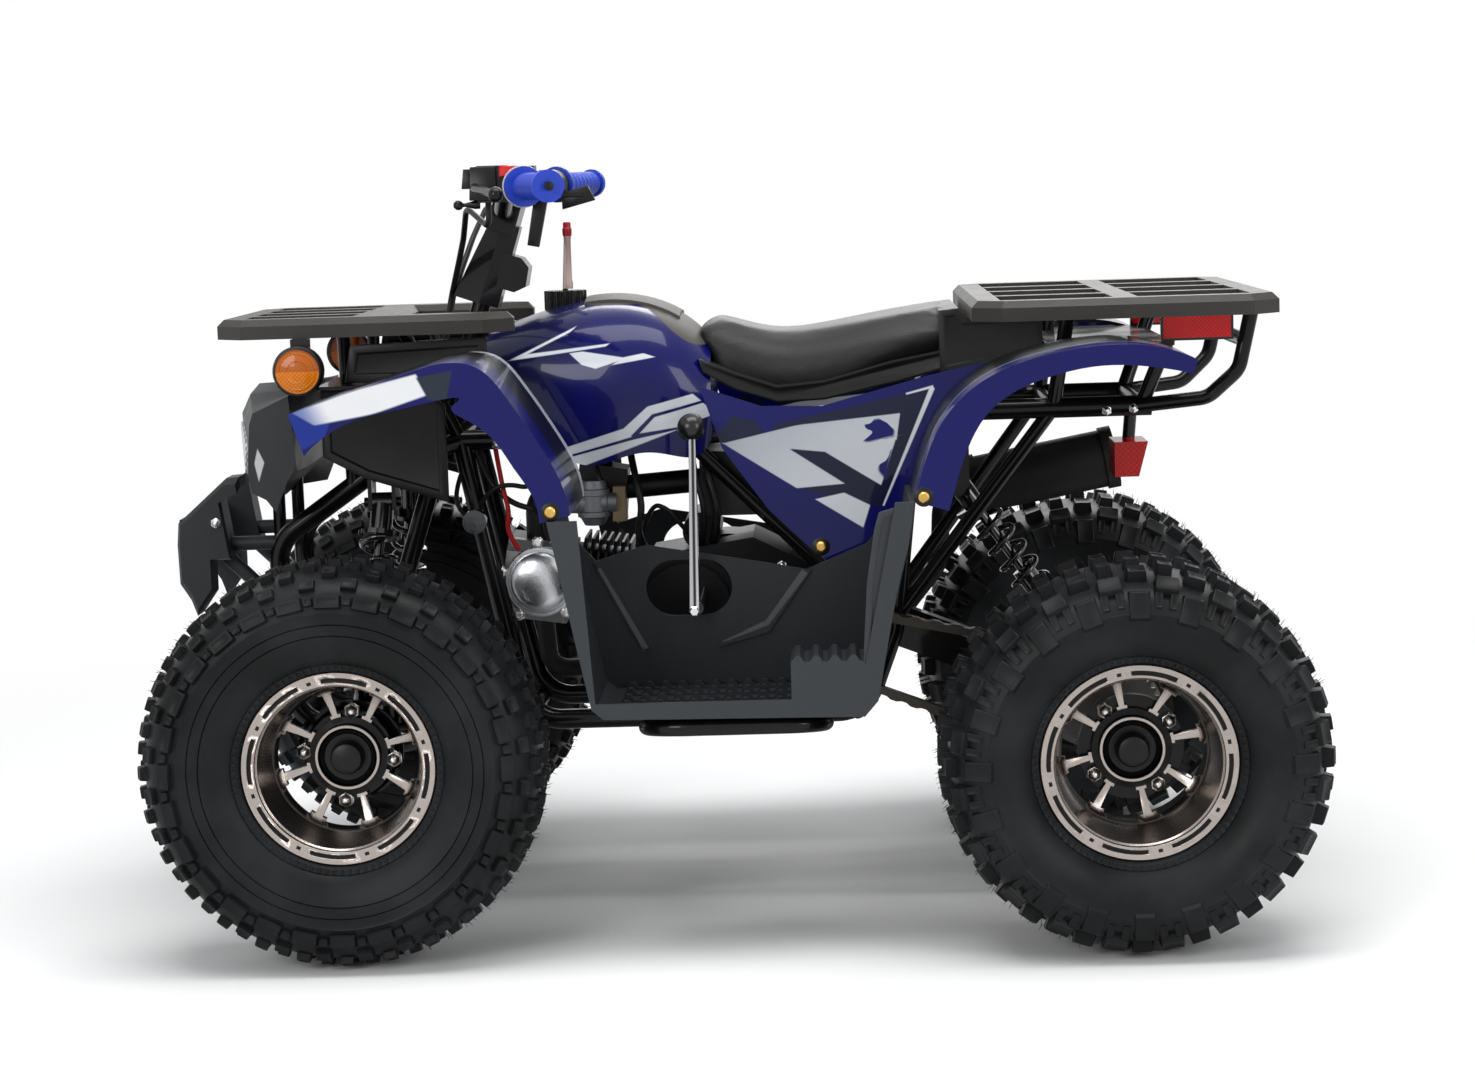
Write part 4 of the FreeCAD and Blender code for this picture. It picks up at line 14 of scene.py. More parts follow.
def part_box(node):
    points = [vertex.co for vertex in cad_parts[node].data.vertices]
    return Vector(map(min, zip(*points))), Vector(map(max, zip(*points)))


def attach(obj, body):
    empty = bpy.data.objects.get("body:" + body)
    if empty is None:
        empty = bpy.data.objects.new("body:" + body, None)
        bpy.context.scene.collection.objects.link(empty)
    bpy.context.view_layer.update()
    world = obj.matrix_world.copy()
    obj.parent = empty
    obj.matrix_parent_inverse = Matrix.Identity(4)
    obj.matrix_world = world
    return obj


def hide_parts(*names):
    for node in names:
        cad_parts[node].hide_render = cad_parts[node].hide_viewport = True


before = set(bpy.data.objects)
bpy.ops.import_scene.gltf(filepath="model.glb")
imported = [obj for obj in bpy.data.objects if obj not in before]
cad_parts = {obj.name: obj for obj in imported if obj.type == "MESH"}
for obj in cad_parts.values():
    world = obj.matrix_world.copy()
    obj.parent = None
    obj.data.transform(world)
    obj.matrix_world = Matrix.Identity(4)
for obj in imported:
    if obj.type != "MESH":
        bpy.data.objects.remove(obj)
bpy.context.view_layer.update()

# %% [markdown]
# ## The camera
# The photograph looks at the left side from a little ahead and above, through a long lens. The
# place and turn below come from fitting a camera to both near wheels, so the camera is written
# as its three axes instead of being aimed by eye.

# %% Place the camera
VIEW_PLACE = Vector((0.1215, -3.9420, 0.9128))
VIEW_ACROSS = Vector((0.99915129, 0.02621524, -0.03177205))
VIEW_UP = Vector((0.02845069, 0.11857283, 0.99253768))
VIEW_AHEAD = Vector((-0.02978691, 0.99259924, -0.11772635))
SENSOR_MM, LENS_MM = 36, 75.852
lens_data = bpy.data.cameras.new("view_lens")
lens_data.sensor_fit = "HORIZONTAL"
lens_data.sensor_width, lens_data.lens = SENSOR_MM, LENS_MM
viewer = bpy.data.objects.new("view_camera", lens_data)
bpy.context.scene.collection.objects.link(viewer)
turn = Matrix((VIEW_ACROSS, VIEW_UP, -VIEW_AHEAD)).transposed()
viewer.matrix_world = Matrix.Translation(VIEW_PLACE) @ turn.to_4x4()
bpy.context.scene.camera = viewer
print("camera at", tuple(VIEW_PLACE))

# %% [markdown]
# ## Shader sums in Python
# A finish is a small program of nodes. Wiring each Math node by hand hides what it does, so one
# class wraps a socket and turns plus, times and greater-than into Math nodes. The other holds a
# material: it can tone its colour from two, cover it where a mask is 1, and grain its surface.

# %% Wrap sockets and nodes
class Flow:
    """A socket that can be added, scaled and compared."""

    def __init__(self, finish, socket):
        self.finish, self.socket = finish, socket

    def sum(self, operation, first, second=0.0):
        return self.finish.node("ShaderNodeMath", {"operation": operation}, {0: first, 1: second})

    def __add__(self, other):
        return self.sum("ADD", self, other)

    __radd__ = __add__

    def __sub__(self, other):
        return self.sum("SUBTRACT", self, other)

    def __rsub__(self, other):
        return self.sum("SUBTRACT", other, self)

    def __mul__(self, other):
        return self.sum("MULTIPLY", self, other)

    __rmul__ = __mul__

    def __gt__(self, other):
        return self.sum("GREATER_THAN", self, other)

    def __abs__(self):
        return self.sum("ABSOLUTE", self)

    def wave(self):
        return self.sum("SINE", self)

    def root(self):
        return self.sum("SQRT", self)

    def top(self, other):
        return self.sum("MAXIMUM", self, other)

    def fade(self, low, high):
        """0 below low, 1 above high, smooth between."""
        return self.finish.node("ShaderNodeMapRange", {"interpolation_type": "SMOOTHSTEP"},
                                {0: self, 1: low, 2: high})

    def band(self, low, high, soft):
        """1 between low and high, with soft edges."""
        return self.fade(low, low + soft) * (1.0 - self.fade(high, high + soft))


class Finish:
    """A material with a principled shader at its end, and the colour that graphics cover."""

    def __init__(self, name, **values):
        self.material = bpy.data.materials.new(name)
        self.material.use_nodes = True
        self.tree = self.material.node_tree
        self.shader = self.tree.nodes["Principled BSDF"]
        self.place = self.node("ShaderNodeTexCoord", output="Object")
        self.across, self.along, self.height = self.split(self.place)
        for key, value in values.items():
            self.shader.inputs[key.replace("_", " ")].default_value = value

    def node(self, kind, settings=None, inputs=None, output=0):
        made = self.tree.nodes.new(kind)
        for key, value in (settings or {}).items():
            setattr(made, key, value)
        for key, value in (inputs or {}).items():
            if isinstance(value, Flow):
                self.tree.links.new(value.socket, made.inputs[key])
            else:
                made.inputs[key].default_value = (*value, 1) if isinstance(value, tuple) else value
        return Flow(self, made.outputs[output])

    def split(self, source):
        """The X, Y and Z of a place or a direction."""
        parts = self.node("ShaderNodeSeparateXYZ", None, {0: source}).socket.node
        return [Flow(self, socket) for socket in parts.outputs]

    def feed(self, name, flow):
        self.tree.links.new(flow.socket, self.shader.inputs[name])

    def noise(self, scale, detail=3.0, roughness=0.55):
        return self.node("ShaderNodeTexNoise", None, {"Vector": self.place, "Scale": scale, "Detail": detail,
                                                      "Roughness": roughness})

    def blend(self, factor, first, second):
        return self.node("ShaderNodeMix", {"data_type": "RGBA"}, {0: factor, 6: first, 7: second}, output=2)

    def tone(self, factor, first, second):
        """Make the colour from two, mixed by a factor."""
        self.colour = self.blend(factor, first, second)
        self.feed("Base Color", self.colour)

    def cover(self, mask, colour):
        """Lay a colour over the present one where the mask is 1."""
        self.tone(mask, self.colour, colour)

    def bump(self, height, strength, distance, under=None):
        inputs = {"Height": height, "Strength": strength, "Distance": distance}
        if under:
            inputs["Normal"] = under
        return self.node("ShaderNodeBump", None, inputs)

    def grain(self, scale, strength, distance, detail=2.0):
        """Roughen the whole surface with a fine noise."""
        self.feed("Normal", self.bump(self.noise(scale, detail), strength, distance))


def dress(finish, *nodes):
    """Give CAD nodes a finish in place of their plain one."""
    for name in nodes:
        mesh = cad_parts[name].data
        mesh.materials.clear()
        mesh.materials.append(finish.material)


print("shader helpers ready")

# %% [markdown]
# ## Floor and light
# The photograph is a cut-out on white. A wide pale floor takes the soft shadow and fades into
# a white world well away from the quad. Large soft lamps stand in for a studio's boxes: one
# overhead draws the long highlights on the wings, one on the camera's side opens the shadows.

# %% Lay the floor
FLOOR_SIZE, SHADOW_REACH, WHITE_FROM = 60, 1.1, 2.6
bpy.ops.object.select_all(action="DESELECT")
bpy.ops.mesh.primitive_plane_add(size=FLOOR_SIZE, location=(0, 0, 0))
floor = bpy.context.active_object
floor.name = "studio_floor"
ground = Finish("studio_ground", Roughness=0.9, Specular_IOR_Level=0.1)
ground.shader.inputs["Base Color"].default_value = (0.90, 0.90, 0.90, 1)
distance = (ground.across * ground.across + ground.along * ground.along).root()
white = ground.node("ShaderNodeEmission", None, {"Color": (1, 1, 1), "Strength": 1.0})
paths = ground.node("ShaderNodeLightPath").socket.node.outputs
seen = Flow(ground, paths["Is Camera Ray"])
for ray in ("Is Glossy Ray", "Is Transmission Ray"):
    seen = seen.top(Flow(ground, paths[ray]))
far = distance.fade(SHADOW_REACH, WHITE_FROM) * seen
mixed = ground.node("ShaderNodeMixShader", None, {0: far, 1: Flow(ground, ground.shader.outputs[0]), 2: white})
ground.tree.links.new(mixed.socket, ground.tree.nodes["Material Output"].inputs["Surface"])
floor.data.materials.append(ground.material)
print("floor", tuple(floor.dimensions))

# %% Light the studio
world = bpy.data.worlds.new("studio_world")
bpy.context.scene.world = world
world.use_nodes = True
sky = world.node_tree
sky_out = sky.nodes["World Output"]
soft_sky = sky.nodes["Background"]
soft_sky.inputs["Color"].default_value = (0.96, 0.98, 1.0, 1)
soft_sky.inputs["Strength"].default_value = 0.42
white_sky = sky.nodes.new("ShaderNodeBackground")
white_sky.inputs["Color"].default_value = (1, 1, 1, 1)
sky_path = sky.nodes.new("ShaderNodeLightPath")
sky_mix = sky.nodes.new("ShaderNodeMixShader")
shown = sky_path.outputs["Is Camera Ray"]
for ray in ("Is Glossy Ray", "Is Transmission Ray"):
    either = sky.nodes.new("ShaderNodeMath")
    either.operation = "MAXIMUM"
    sky.links.new(shown, either.inputs[0])
    sky.links.new(sky_path.outputs[ray], either.inputs[1])
    shown = either.outputs[0]
sky.links.new(shown, sky_mix.inputs[0])
sky.links.new(soft_sky.outputs[0], sky_mix.inputs[1])
sky.links.new(white_sky.outputs[0], sky_mix.inputs[2])
sky.links.new(sky_mix.outputs[0], sky_out.inputs["Surface"])


def softbox(name, place, aim, width, depth, power):
    """A rectangular lamp aimed at a point."""
    data = bpy.data.lights.new(name, "AREA")
    data.shape, data.size, data.size_y, data.energy = "RECTANGLE", width, depth, power
    lamp = bpy.data.objects.new(name, data)
    bpy.context.scene.collection.objects.link(lamp)
    lamp.location = place
    lamp.rotation_euler = (Vector(aim) - Vector(place)).to_track_quat("-Z", "Y").to_euler()


softbox("overhead_box", (0.2, -0.6, 3.4), (0, 0, 0.4), 3.2, 1.6, 95)
softbox("camera_side_box", (-2.2, -3.6, 1.9), (0, 0, 0.45), 1.8, 1.4, 55)
softbox("rear_box", (2.8, -2.4, 1.6), (0.3, 0, 0.45), 1.0, 1.6, 30)
softbox("far_side_box", (0.4, 3.4, 2.4), (0, 0, 0.5), 2.6, 1.4, 50)
bpy.context.scene.view_settings.view_transform = "Standard"

# %% [markdown]
# ## Finish: moulded rubber
# Tyre rubber is near black and matt, with a faint bloom where the mould has left it greyer. The
# bump stays fine, because a tyre's large shapes are real geometry.

# %% Mix the rubbers
tyre_rubber = Finish("tyre_rubber", Specular_IOR_Level=0.14)
bloom = tyre_rubber.noise(9.0, 5.0).fade(0.35, 0.75)
tyre_rubber.tone(bloom, (0.006, 0.0064, 0.007), (0.016, 0.017, 0.019))
tyre_rubber.feed("Roughness", bloom * 0.14 + 0.4)
tyre_rubber.grain(420.0, 0.25, 0.0006)
dress(tyre_rubber, "tyre_front_left", "tyre_front_right", "tyre_rear_left", "tyre_rear_right")

grip_rubber = Finish("grip_rubber", Specular_IOR_Level=0.4)
touch = grip_rubber.noise(60.0, 4.0)
grip_rubber.tone(touch, (0.006, 0.03, 0.34), (0.01, 0.048, 0.47))
grip_rubber.feed("Roughness", touch * 0.2 + 0.36)
grip_rubber.grain(700.0, 0.2, 0.0004)
dress(grip_rubber, "grip_left", "grip_right")
print("rubber finishes", tyre_rubber.material.name, grip_rubber.material.name)

# %% [markdown]
# ## Finish: gloss blue bodywork with its graphics
# The panels are through-dyed blue plastic under a clear film, so a principled shader with a
# light coat gives both the deep colour and the sharp highlight. The stickers are flat shapes in
# side view: each is a convex outline, and a point is inside where it lies on the same side of
# every edge. Several outlines are combined with Maximum.

# %% Outline masks in side view
MM = 0.001


def mm(points):
    """Points in metres from points in millimetres."""
    return [tuple(value * MM for value in point) for point in points]


def inside(finish, corners, soft=0.8):
    """1 inside a convex outline of (x, z) corners in mm, clockwise as seen from the left side."""
    corners = mm(corners)
    mask = None
    for (x0, z0), (x1, z1) in zip(corners, corners[1:] + corners[:1]):
        reach = math.hypot(x1 - x0, z1 - z0)
        side = (finish.across - x0) * ((z1 - z0) / reach) - (finish.height - z0) * ((x1 - x0) / reach)
        edge = side.fade(-soft * MM, soft * MM)
        mask = edge if mask is None else mask * edge
    return mask


def any_of(finish, outlines, soft=0.8):
    """1 inside any of the outlines."""
    mask = inside(finish, outlines[0], soft)
    for corners in outlines[1:]:
        mask = mask.top(inside(finish, corners, soft))
    return mask


def strips(finish, *stripes):
    """Straight stripes that may taper, each from a start to an end with a width at each, in mm."""
    outlines = []
    for start, end, wide_start, wide_end in stripes:
        a, b = Vector(start), Vector(end)
        way = (b - a).normalized()
        up = Vector((-way.y, way.x)) / 2
        outlines.append([tuple(corner) for corner in (a + up * wide_start, b + up * wide_end,
                                                      b - up * wide_end, a - up * wide_start)])
    return any_of(finish, outlines)


DEEP_BLUE, LIT_BLUE = (0.0013, 0.002, 0.062), (0.0024, 0.0036, 0.108)
FILM_WHITE, FILM_GREY, FILM_DARK = (0.6, 0.62, 0.66), (0.33, 0.35, 0.39), (0.006, 0.007, 0.022)
PANEL_COAT, PANEL_ROUGHNESS = 0.32, 0.26


def blue_panel(name):
    """Gloss blue plastic for graphics to cover."""
    finish = Finish(name, Coat_Roughness=0.03, Specular_IOR_Level=0.1, Coat_Weight=PANEL_COAT)
    finish.tone(finish.noise(5.0, 3.0), DEEP_BLUE, LIT_BLUE)
    finish.feed("Roughness", finish.noise(30.0, 3.0) * 0.1 + PANEL_ROUGHNESS)
    finish.grain(38.0, 0.05, 0.002)
    return finish


print("outline helpers ready")

# %% Tank cover graphics
TANK_STICKERS = [
    [(-268, 690), (-183, 730), (-190, 723.5), (-247, 696.5)],
    [(-268, 690), (-247, 697.5), (-141, 709), (-146, 705.5)],
    [(-191, 698), (-175, 700), (-120, 691), (-159, 679), (-176, 684)],
    [(-124, 692), (-100, 696), (-86, 691), (-139, 683)],
    [(-208, 580), (-126, 605), (-118, 594), (-203, 571)],
    [(-128, 604), (-97, 631), (-91, 622), (-120, 594)],
    [(-97, 631), (-42, 644), (-32, 635), (-93, 621)],
    [(-201, 568.5), (-118, 590), (-61, 601), (-190, 555)],
    [(-108, 598), (-89, 617.5), (-30, 632), (-13, 618), (-61, 604)]]
tank_paint = blue_panel("tank_paint")
across, height = tank_paint.across, tank_paint.height
rows = (across * 560.0 + height * 320.0).wave() * (height * 560.0 - across * 320.0).wave()
dots = rows.fade(0.3, 0.55) * (across * -1.0).fade(-0.02, 0.16) * across.fade(-0.19, -0.1)
tank_paint.cover(dots * 0.75, FILM_DARK)
dark_nose = (across * -1.0 + height * 0.35).fade(0.395, 0.49)
tank_paint.cover(dark_nose * 0.75, FILM_DARK)
tank_paint.cover(any_of(tank_paint, TANK_STICKERS), FILM_WHITE)
pad_edge = height - 0.752 + across.fade(-0.115, -0.03) * 0.052
grey_top = pad_edge.fade(0.0, 0.002) * across.fade(-0.178, -0.176)
tank_paint.cover(grey_top, (0.075, 0.07, 0.064))
tank_paint.feed("Coat Weight", (1.0 - grey_top) * PANEL_COAT)
tank_paint.feed("Roughness", grey_top * 0.25 + PANEL_ROUGHNESS)
tank_paint.feed("Normal", tank_paint.bump(tank_paint.noise(260.0, 3.0) * grey_top, 0.5, 0.0012))
dress(tank_paint, "tank_cover")
print("tank graphics", len(tank_paint.tree.nodes), "nodes")

# %% Wing graphics
wing_paint = blue_panel("wing_paint")
lit_tip = inside(wing_paint, [(-500, 660), (-440, 660), (-455, 625), (-500, 600)])
wing_paint.cover(lit_tip * 0.6, (0.01, 0.035, 0.3))
flash = inside(wing_paint, [(-491, 654), (-420, 677), (-347, 694), (-330, 661), (-398, 650), (-455, 632)], 1.5)
glare = (wing_paint.across + wing_paint.height * 0.5).fade(-0.16, -0.12)
silver = wing_paint.blend(glare, (0.2, 0.26, 0.46), (0.7, 0.71, 0.73))
wing_paint.cover(flash * (glare * 0.35 + 0.65), silver)
dark_patch = inside(wing_paint, [(-347, 690), (-305, 697), (-313, 664), (-334, 664)], 1.5)
wing_paint.cover(dark_patch, (0.014, 0.022, 0.034))
beside = abs(wing_paint.along)
wing_paint.cover(1.0 - beside.fade(0.318, 0.32), (0.0035, 0.0036, 0.005))
silver_edge = (1.0 - beside.fade(0.194, 0.196)) * wing_paint.across.fade(-0.312, -0.3)
wing_paint.cover(silver_edge, (0.42, 0.44, 0.5))
dress(wing_paint, "front_fender")

rear_paint = blue_panel("rear_wing_paint")
beside = abs(rear_paint.along)
rear_paint.cover(1.0 - beside.fade(0.338, 0.34), (0.004, 0.0041, 0.005))
# A pale line painted along the edge of the dark inner band: a painted highlight on that edge.
painted_band_edge_highlight = abs(beside - 0.336) * -1.0
rear_paint.cover(painted_band_edge_highlight.fade(-0.003, -0.0024), (0.3, 0.32, 0.38))
dress(rear_paint, "rear_fender")
print("wing graphics", len(wing_paint.tree.nodes) + len(rear_paint.tree.nodes), "nodes")

# %% Side panel graphics
DARK_FIELD = [
    [(-16, 592), (8, 619), (56, 607), (60, 575), (92, 528)],
    [(56, 607), (247, 646), (186, 504), (171, 507), (92, 528), (56, 560)]]
PALE = [
    [(-6, 586), (85, 606), (210, 617), (205, 585), (72, 577)],
    [(70, 578.5), (206, 590), (119, 573)],
    [(112, 577), (206, 592), (185, 531)],
    [(-6, 587), (72.5, 579.5), (141, 534), (83, 530)]]
LOWER_PATCH = [(105, 516), (140, 523), (171, 507), (162, 480)]
CAMO = [
    [(146, 590), (150, 607), (206, 614), (202, 590), (170, 583)],
    [(184, 585), (203, 590), (190, 538), (182, 548)]]
side_paint = blue_panel("side_panel_paint")
side_paint.cover(any_of(side_paint, DARK_FIELD) * 0.9, FILM_DARK)
sheen = (side_paint.across * 0.6 - side_paint.height).fade(-0.6, -0.42)
side_paint.cover(any_of(side_paint, PALE), side_paint.blend(sheen, FILM_GREY, FILM_WHITE))
side_paint.cover(inside(side_paint, LOWER_PATCH), FILM_WHITE)
blotches = side_paint.noise(40.0, 1.0, 0.3).fade(0.495, 0.51)
side_paint.cover(blotches * any_of(side_paint, CAMO, 2.0), LIT_BLUE)
edge_lines = strips(side_paint, ((250, 647), (187, 506), 6, 2), ((218, 640), (251, 648), 2, 3))
side_paint.cover(edge_lines, FILM_WHITE)
dress(side_paint, "side_panel_left", "side_panel_right")
print("side graphics", len(side_paint.tree.nodes), "nodes")

# %% [markdown]
# ## Finish: moulded plastics
# The footwells, mask and bumper are textured charcoal plastic, the racks a warmer grey. Spark
# eroded moulds leave an even pebble, so a fine noise drives the bump, and a slow one keeps a
# large face from looking like one flat colour.

# %% Mix the plastics
def plastic(name, dark, light, rough, pebble=900.0, depth=0.0005):
    finish = Finish(name, Specular_IOR_Level=0.25)
    finish.tone(finish.noise(7.0, 4.0), dark, light)
    finish.feed("Roughness", finish.noise(24.0, 3.0) * 0.14 + rough)
    finish.grain(pebble, 0.45, depth)
    return finish


CHARCOAL = ((0.0095, 0.0108, 0.0125), (0.0165, 0.0185, 0.0215), 0.42)
dress(plastic("charcoal_plastic", *CHARCOAL), "front_bumper")
dress(plastic("heat_paint", (0.006, 0.006, 0.006), (0.011, 0.0108, 0.0105), 0.5, 500.0), "exhaust")
dress(plastic("rack_plastic", (0.021, 0.0195, 0.018), (0.037, 0.034, 0.031), 0.4, 620.0, 0.0008),
      "front_rack", "rear_rack")
dress(plastic("control_plastic", (0.005, 0.005, 0.0055), (0.01, 0.01, 0.011), 0.36), "control_cables", "intake")

mask_plastic = plastic("mask_plastic", (0.016, 0.017, 0.019), (0.026, 0.028, 0.031), 0.38)
slit = inside(mask_plastic, [(-570, 597), (-562.5, 580), (-570, 557), (-574.5, 579)])
mask_plastic.cover(slit, (0.5, 0.51, 0.53))
dress(mask_plastic, "front_mask")

tub_plastic = plastic("footwell_plastic", *CHARCOAL)
# The outward faces are painted lighter than the rest of the same plastic: painted light on one side.
lit_outer_wall = abs(tub_plastic.along).fade(0.396, 0.404)
tub_plastic.cover(lit_outer_wall * 0.8, (0.036, 0.04, 0.045))
# Light lines painted along the footwell's edges and steps: painted highlights, not wear.
painted_step_highlights = strips(tub_plastic, ((-160, 440), (-106, 339), 6.5, 8.5), ((90, 430), (41, 367), 8.5, 6),
              ((42, 368), (-12, 347), 6, 2))
tub_plastic.cover(painted_step_highlights * (1.0 - lit_outer_wall) * 0.75, (0.085, 0.09, 0.096))
dress(tub_plastic, "footwell_left", "footwell_right")
print("plastics mixed")

# %% [markdown]
# ## Finish: paint and metals
# Frame tubes are black powder coat, which has a slight orange-peel, and the springs are gloss
# black. Turned steel and chain steel are a metal with a fine grain. The engine is bare alloy at
# its front cover and painted black behind it.

# %% Mix the paints and metals
frame_paint = Finish("frame_powder_coat", Coat_Weight=0.3, Coat_Roughness=0.06, Specular_IOR_Level=0.08)
wear = frame_paint.noise(14.0, 5.0)
frame_paint.tone(wear, (0.0018, 0.0018, 0.002), (0.005, 0.005, 0.0054))
frame_paint.feed("Roughness", wear * 0.2 + 0.24)
frame_paint.grain(240.0, 0.18, 0.0008)
dress(frame_paint, "frame", "front_frame", "rear_subframe", "rack_supports", "control_arm_left",
      "control_arm_right", "swingarm", "grab_loop", "knuckle_left", "knuckle_right", "steering_stem",
      "handlebar", "brake_lever_left", "brake_lever_right", "rear_axle", "tie_rod_left", "tie_rod_right",
      "front_hub_left", "front_hub_right")

spring_paint = Finish("spring_gloss_black", Coat_Weight=1.0, Coat_Roughness=0.03, Specular_IOR_Level=0.2)
wear = spring_paint.noise(30.0, 4.0)
spring_paint.tone(wear, (0.002, 0.002, 0.0022), (0.007, 0.007, 0.0074))
spring_paint.feed("Roughness", wear * 0.1 + 0.2)
dress(spring_paint, "front_shock_left", "front_shock_right", "rear_shock")


def bare_metal(name, dark, light, rough, grain_scale, metallic=1.0):
    finish = Finish(name, Metallic=metallic)
    cloud = finish.noise(18.0, 5.0)
    finish.tone(cloud, dark, light)
    finish.feed("Roughness", cloud * 0.16 + rough)
    finish.grain(grain_scale, 0.35, 0.0006, 3.0)
    return finish


dress(bare_metal("turned_steel", (0.2, 0.19, 0.185), (0.34, 0.33, 0.32), 0.28, 700.0),
      "brake_disc", "rear_sprocket")
dress(bare_metal("oiled_chain", (0.03, 0.027, 0.024), (0.085, 0.078, 0.07), 0.34, 500.0), "chain")
dress(bare_metal("dark_chrome", (0.05, 0.052, 0.056), (0.09, 0.092, 0.098), 0.1, 90.0), "horn")

crankcase = Finish("painted_crankcase", Specular_IOR_Level=0.15)
bare = (1.0 - crankcase.across.fade(-0.2, -0.196)) * (1.0 - crankcase.along.fade(-0.03, -0.026))
blotch = crankcase.noise(18.0, 5.0)
alloy_tone = crankcase.blend(blotch, (0.26, 0.26, 0.26), (0.42, 0.42, 0.41))
black_tone = crankcase.blend(blotch, (0.003, 0.003, 0.0032), (0.0085, 0.0085, 0.0088))
crankcase.tone(bare, black_tone, alloy_tone)
crankcase.feed("Metallic", bare * 0.9)
crankcase.feed("Roughness", blotch * 0.14 + 0.34)
crankcase.grain(360.0, 0.35, 0.0006, 3.0)
dress(crankcase, "engine")
print("paints and metals mixed")

# %% [markdown]
# ## Finish: machined wheel faces
# The rims are black lacquered castings whose outer faces were then turned bright. The finish
# reads the radius from the wheel's own axle: a face that looks outwards beyond the hub is
# bright, and so is the barrel in front of the disc. Window walls and the back stay black.

# %% Mix the rim finish
WHEEL_PLACES = {"front": (-0.455, 0.241, 0.354), "rear": (0.467, 0.229, 0.3605)}
RIM_HALVES = {"front": 0.063, "rear": 0.085}
DISC_OFFSETS = {"front": 0.021, "rear": 0.011}
RIM_TURNS = {"front": math.radians(16.3), "rear": math.radians(12.2)}


def rim_finish(prefix):
    centre_x, centre_z, half_span = WHEEL_PLACES[prefix]
    disc_at, face_at = half_span - DISC_OFFSETS[prefix], half_span + RIM_HALVES[prefix]
    finish = Finish(f"rim_{prefix}_finish", Specular_IOR_Level=0.2)
    x, z = finish.across - centre_x, finish.height - centre_z
    beside = abs(finish.along)
    radius = (x * x + z * z).root()
    angle = finish.node("ShaderNodeMath", {"operation": "ARCTAN2"}, {0: z, 1: x})
    normal = finish.node("ShaderNodeTexCoord", output="Normal")
    _, faces_along, _ = finish.split(normal)
    facing = abs(faces_along).fade(0.3, 0.45) * ((faces_along * finish.along) > 0.0)
    barrel = radius.fade(0.0865, 0.0875) * beside.fade(disc_at - 0.001, disc_at + 0.001)
    hub_ring = facing * radius.band(0.0348, 0.0382, 0.0004)
    holes = ((angle - RIM_TURNS[prefix]) * 8.0 + math.pi / 2).wave().fade(0.975, 0.985)
    holes = holes * radius.band(0.1022, 0.1062, 0.0004)
    slots = (1.0 - beside.fade(face_at - 0.0024, face_at - 0.0012)) * radius.fade(0.099, 0.0994)
    bright = (facing.top(barrel) * radius.fade(0.047, 0.0476)).top(hub_ring) * (1.0 - holes.top(slots))
    rings = (radius * 5200.0).wave() * 0.5 + 0.5
    stain = finish.noise(9.0, 3.0)
    metal = finish.blend(stain, (0.34, 0.3, 0.275), (0.44, 0.395, 0.365))
    finish.tone(bright, (0.0045, 0.0045, 0.005), metal)
    finish.feed("Metallic", bright)
    finish.feed("Roughness", bright * -0.1 + 0.32 + stain * 0.06)
    finish.feed("Normal", finish.bump(rings * bright, 0.22, 0.0002))
    return finish


RIM_FINISHES = {prefix: rim_finish(prefix) for prefix in WHEEL_PLACES}
for prefix, finish in RIM_FINISHES.items():
    dress(finish, f"rim_{prefix}_left", f"rim_{prefix}_right")
print("rim finishes made")

# %% [markdown]
# ## Finish: lamps
# Reflectors are clear dyed plastic over a prism pattern. An opaque dyed base under a clear coat
# reads the same from outside and costs no glass rays, and a crossed wave gives the prisms.

# %% Mix the lenses
HOUSING_BLACK = (0.006, 0.006, 0.0065)


def lens_finish(name, colour, deep, pitch=0.009):
    finish = Finish(name, Coat_Weight=0.35, Coat_Roughness=0.04, Roughness=0.3, Specular_IOR_Level=0.15)
    turns = 2 * math.pi / pitch
    prisms = (finish.across * turns).wave() * (finish.height * turns).wave()
    finish.tone(prisms.fade(-0.6, 0.8), deep, colour)
    finish.feed("Normal", finish.bump(prisms, 0.16, 0.0006))
    return finish


amber = lens_finish("amber_lens", (0.72, 0.215, 0.006), (0.55, 0.135, 0.004), 0.005)
amber.cover(amber.height.fade(0.6895, 0.6905) * 0.8, (0.36, 0.075, 0.003))
amber.cover(amber.height.fade(0.7175, 0.718), (0.005, 0.005, 0.0055))
dress(amber, "amber_reflectors")
red = lens_finish("red_lens", (0.52, 0.004, 0.005), (0.36, 0.002, 0.003), 0.005)
bezel = 1.0 - red.across.band(0.5285, 0.6095, 0.001) * red.height.band(0.6965, 0.7225, 0.001)
red.cover(bezel, (0.008, 0.008, 0.009))
dress(red, "red_reflectors")
tail_red = lens_finish("tail_lens", (0.6, 0.006, 0.006), (0.4, 0.003, 0.004), 0.007)
tail_red.cover(tail_red.height.fade(0.562, 0.563), HOUSING_BLACK)
dress(tail_red, "tail_light")
dress(lens_finish("clear_lens", (0.42, 0.45, 0.5), (0.1, 0.11, 0.13)), "headlights")
print("lenses mixed")

# %% Two-part finishes that change along a piece
lever_chrome = Finish("lever_chrome", Specular_IOR_Level=0.4)
ball = lever_chrome.height.fade(0.5955, 0.5965).top(1.0 - lever_chrome.height.fade(0.3985, 0.3995))
lever_chrome.tone(ball, (0.56, 0.56, 0.57), (0.006, 0.006, 0.006))
lever_chrome.feed("Metallic", 1.0 - ball)
lever_chrome.feed("Roughness", lever_chrome.noise(40.0, 3.0) * 0.06 + ball * 0.14 + 0.08)
dress(lever_chrome, "shift_lever")

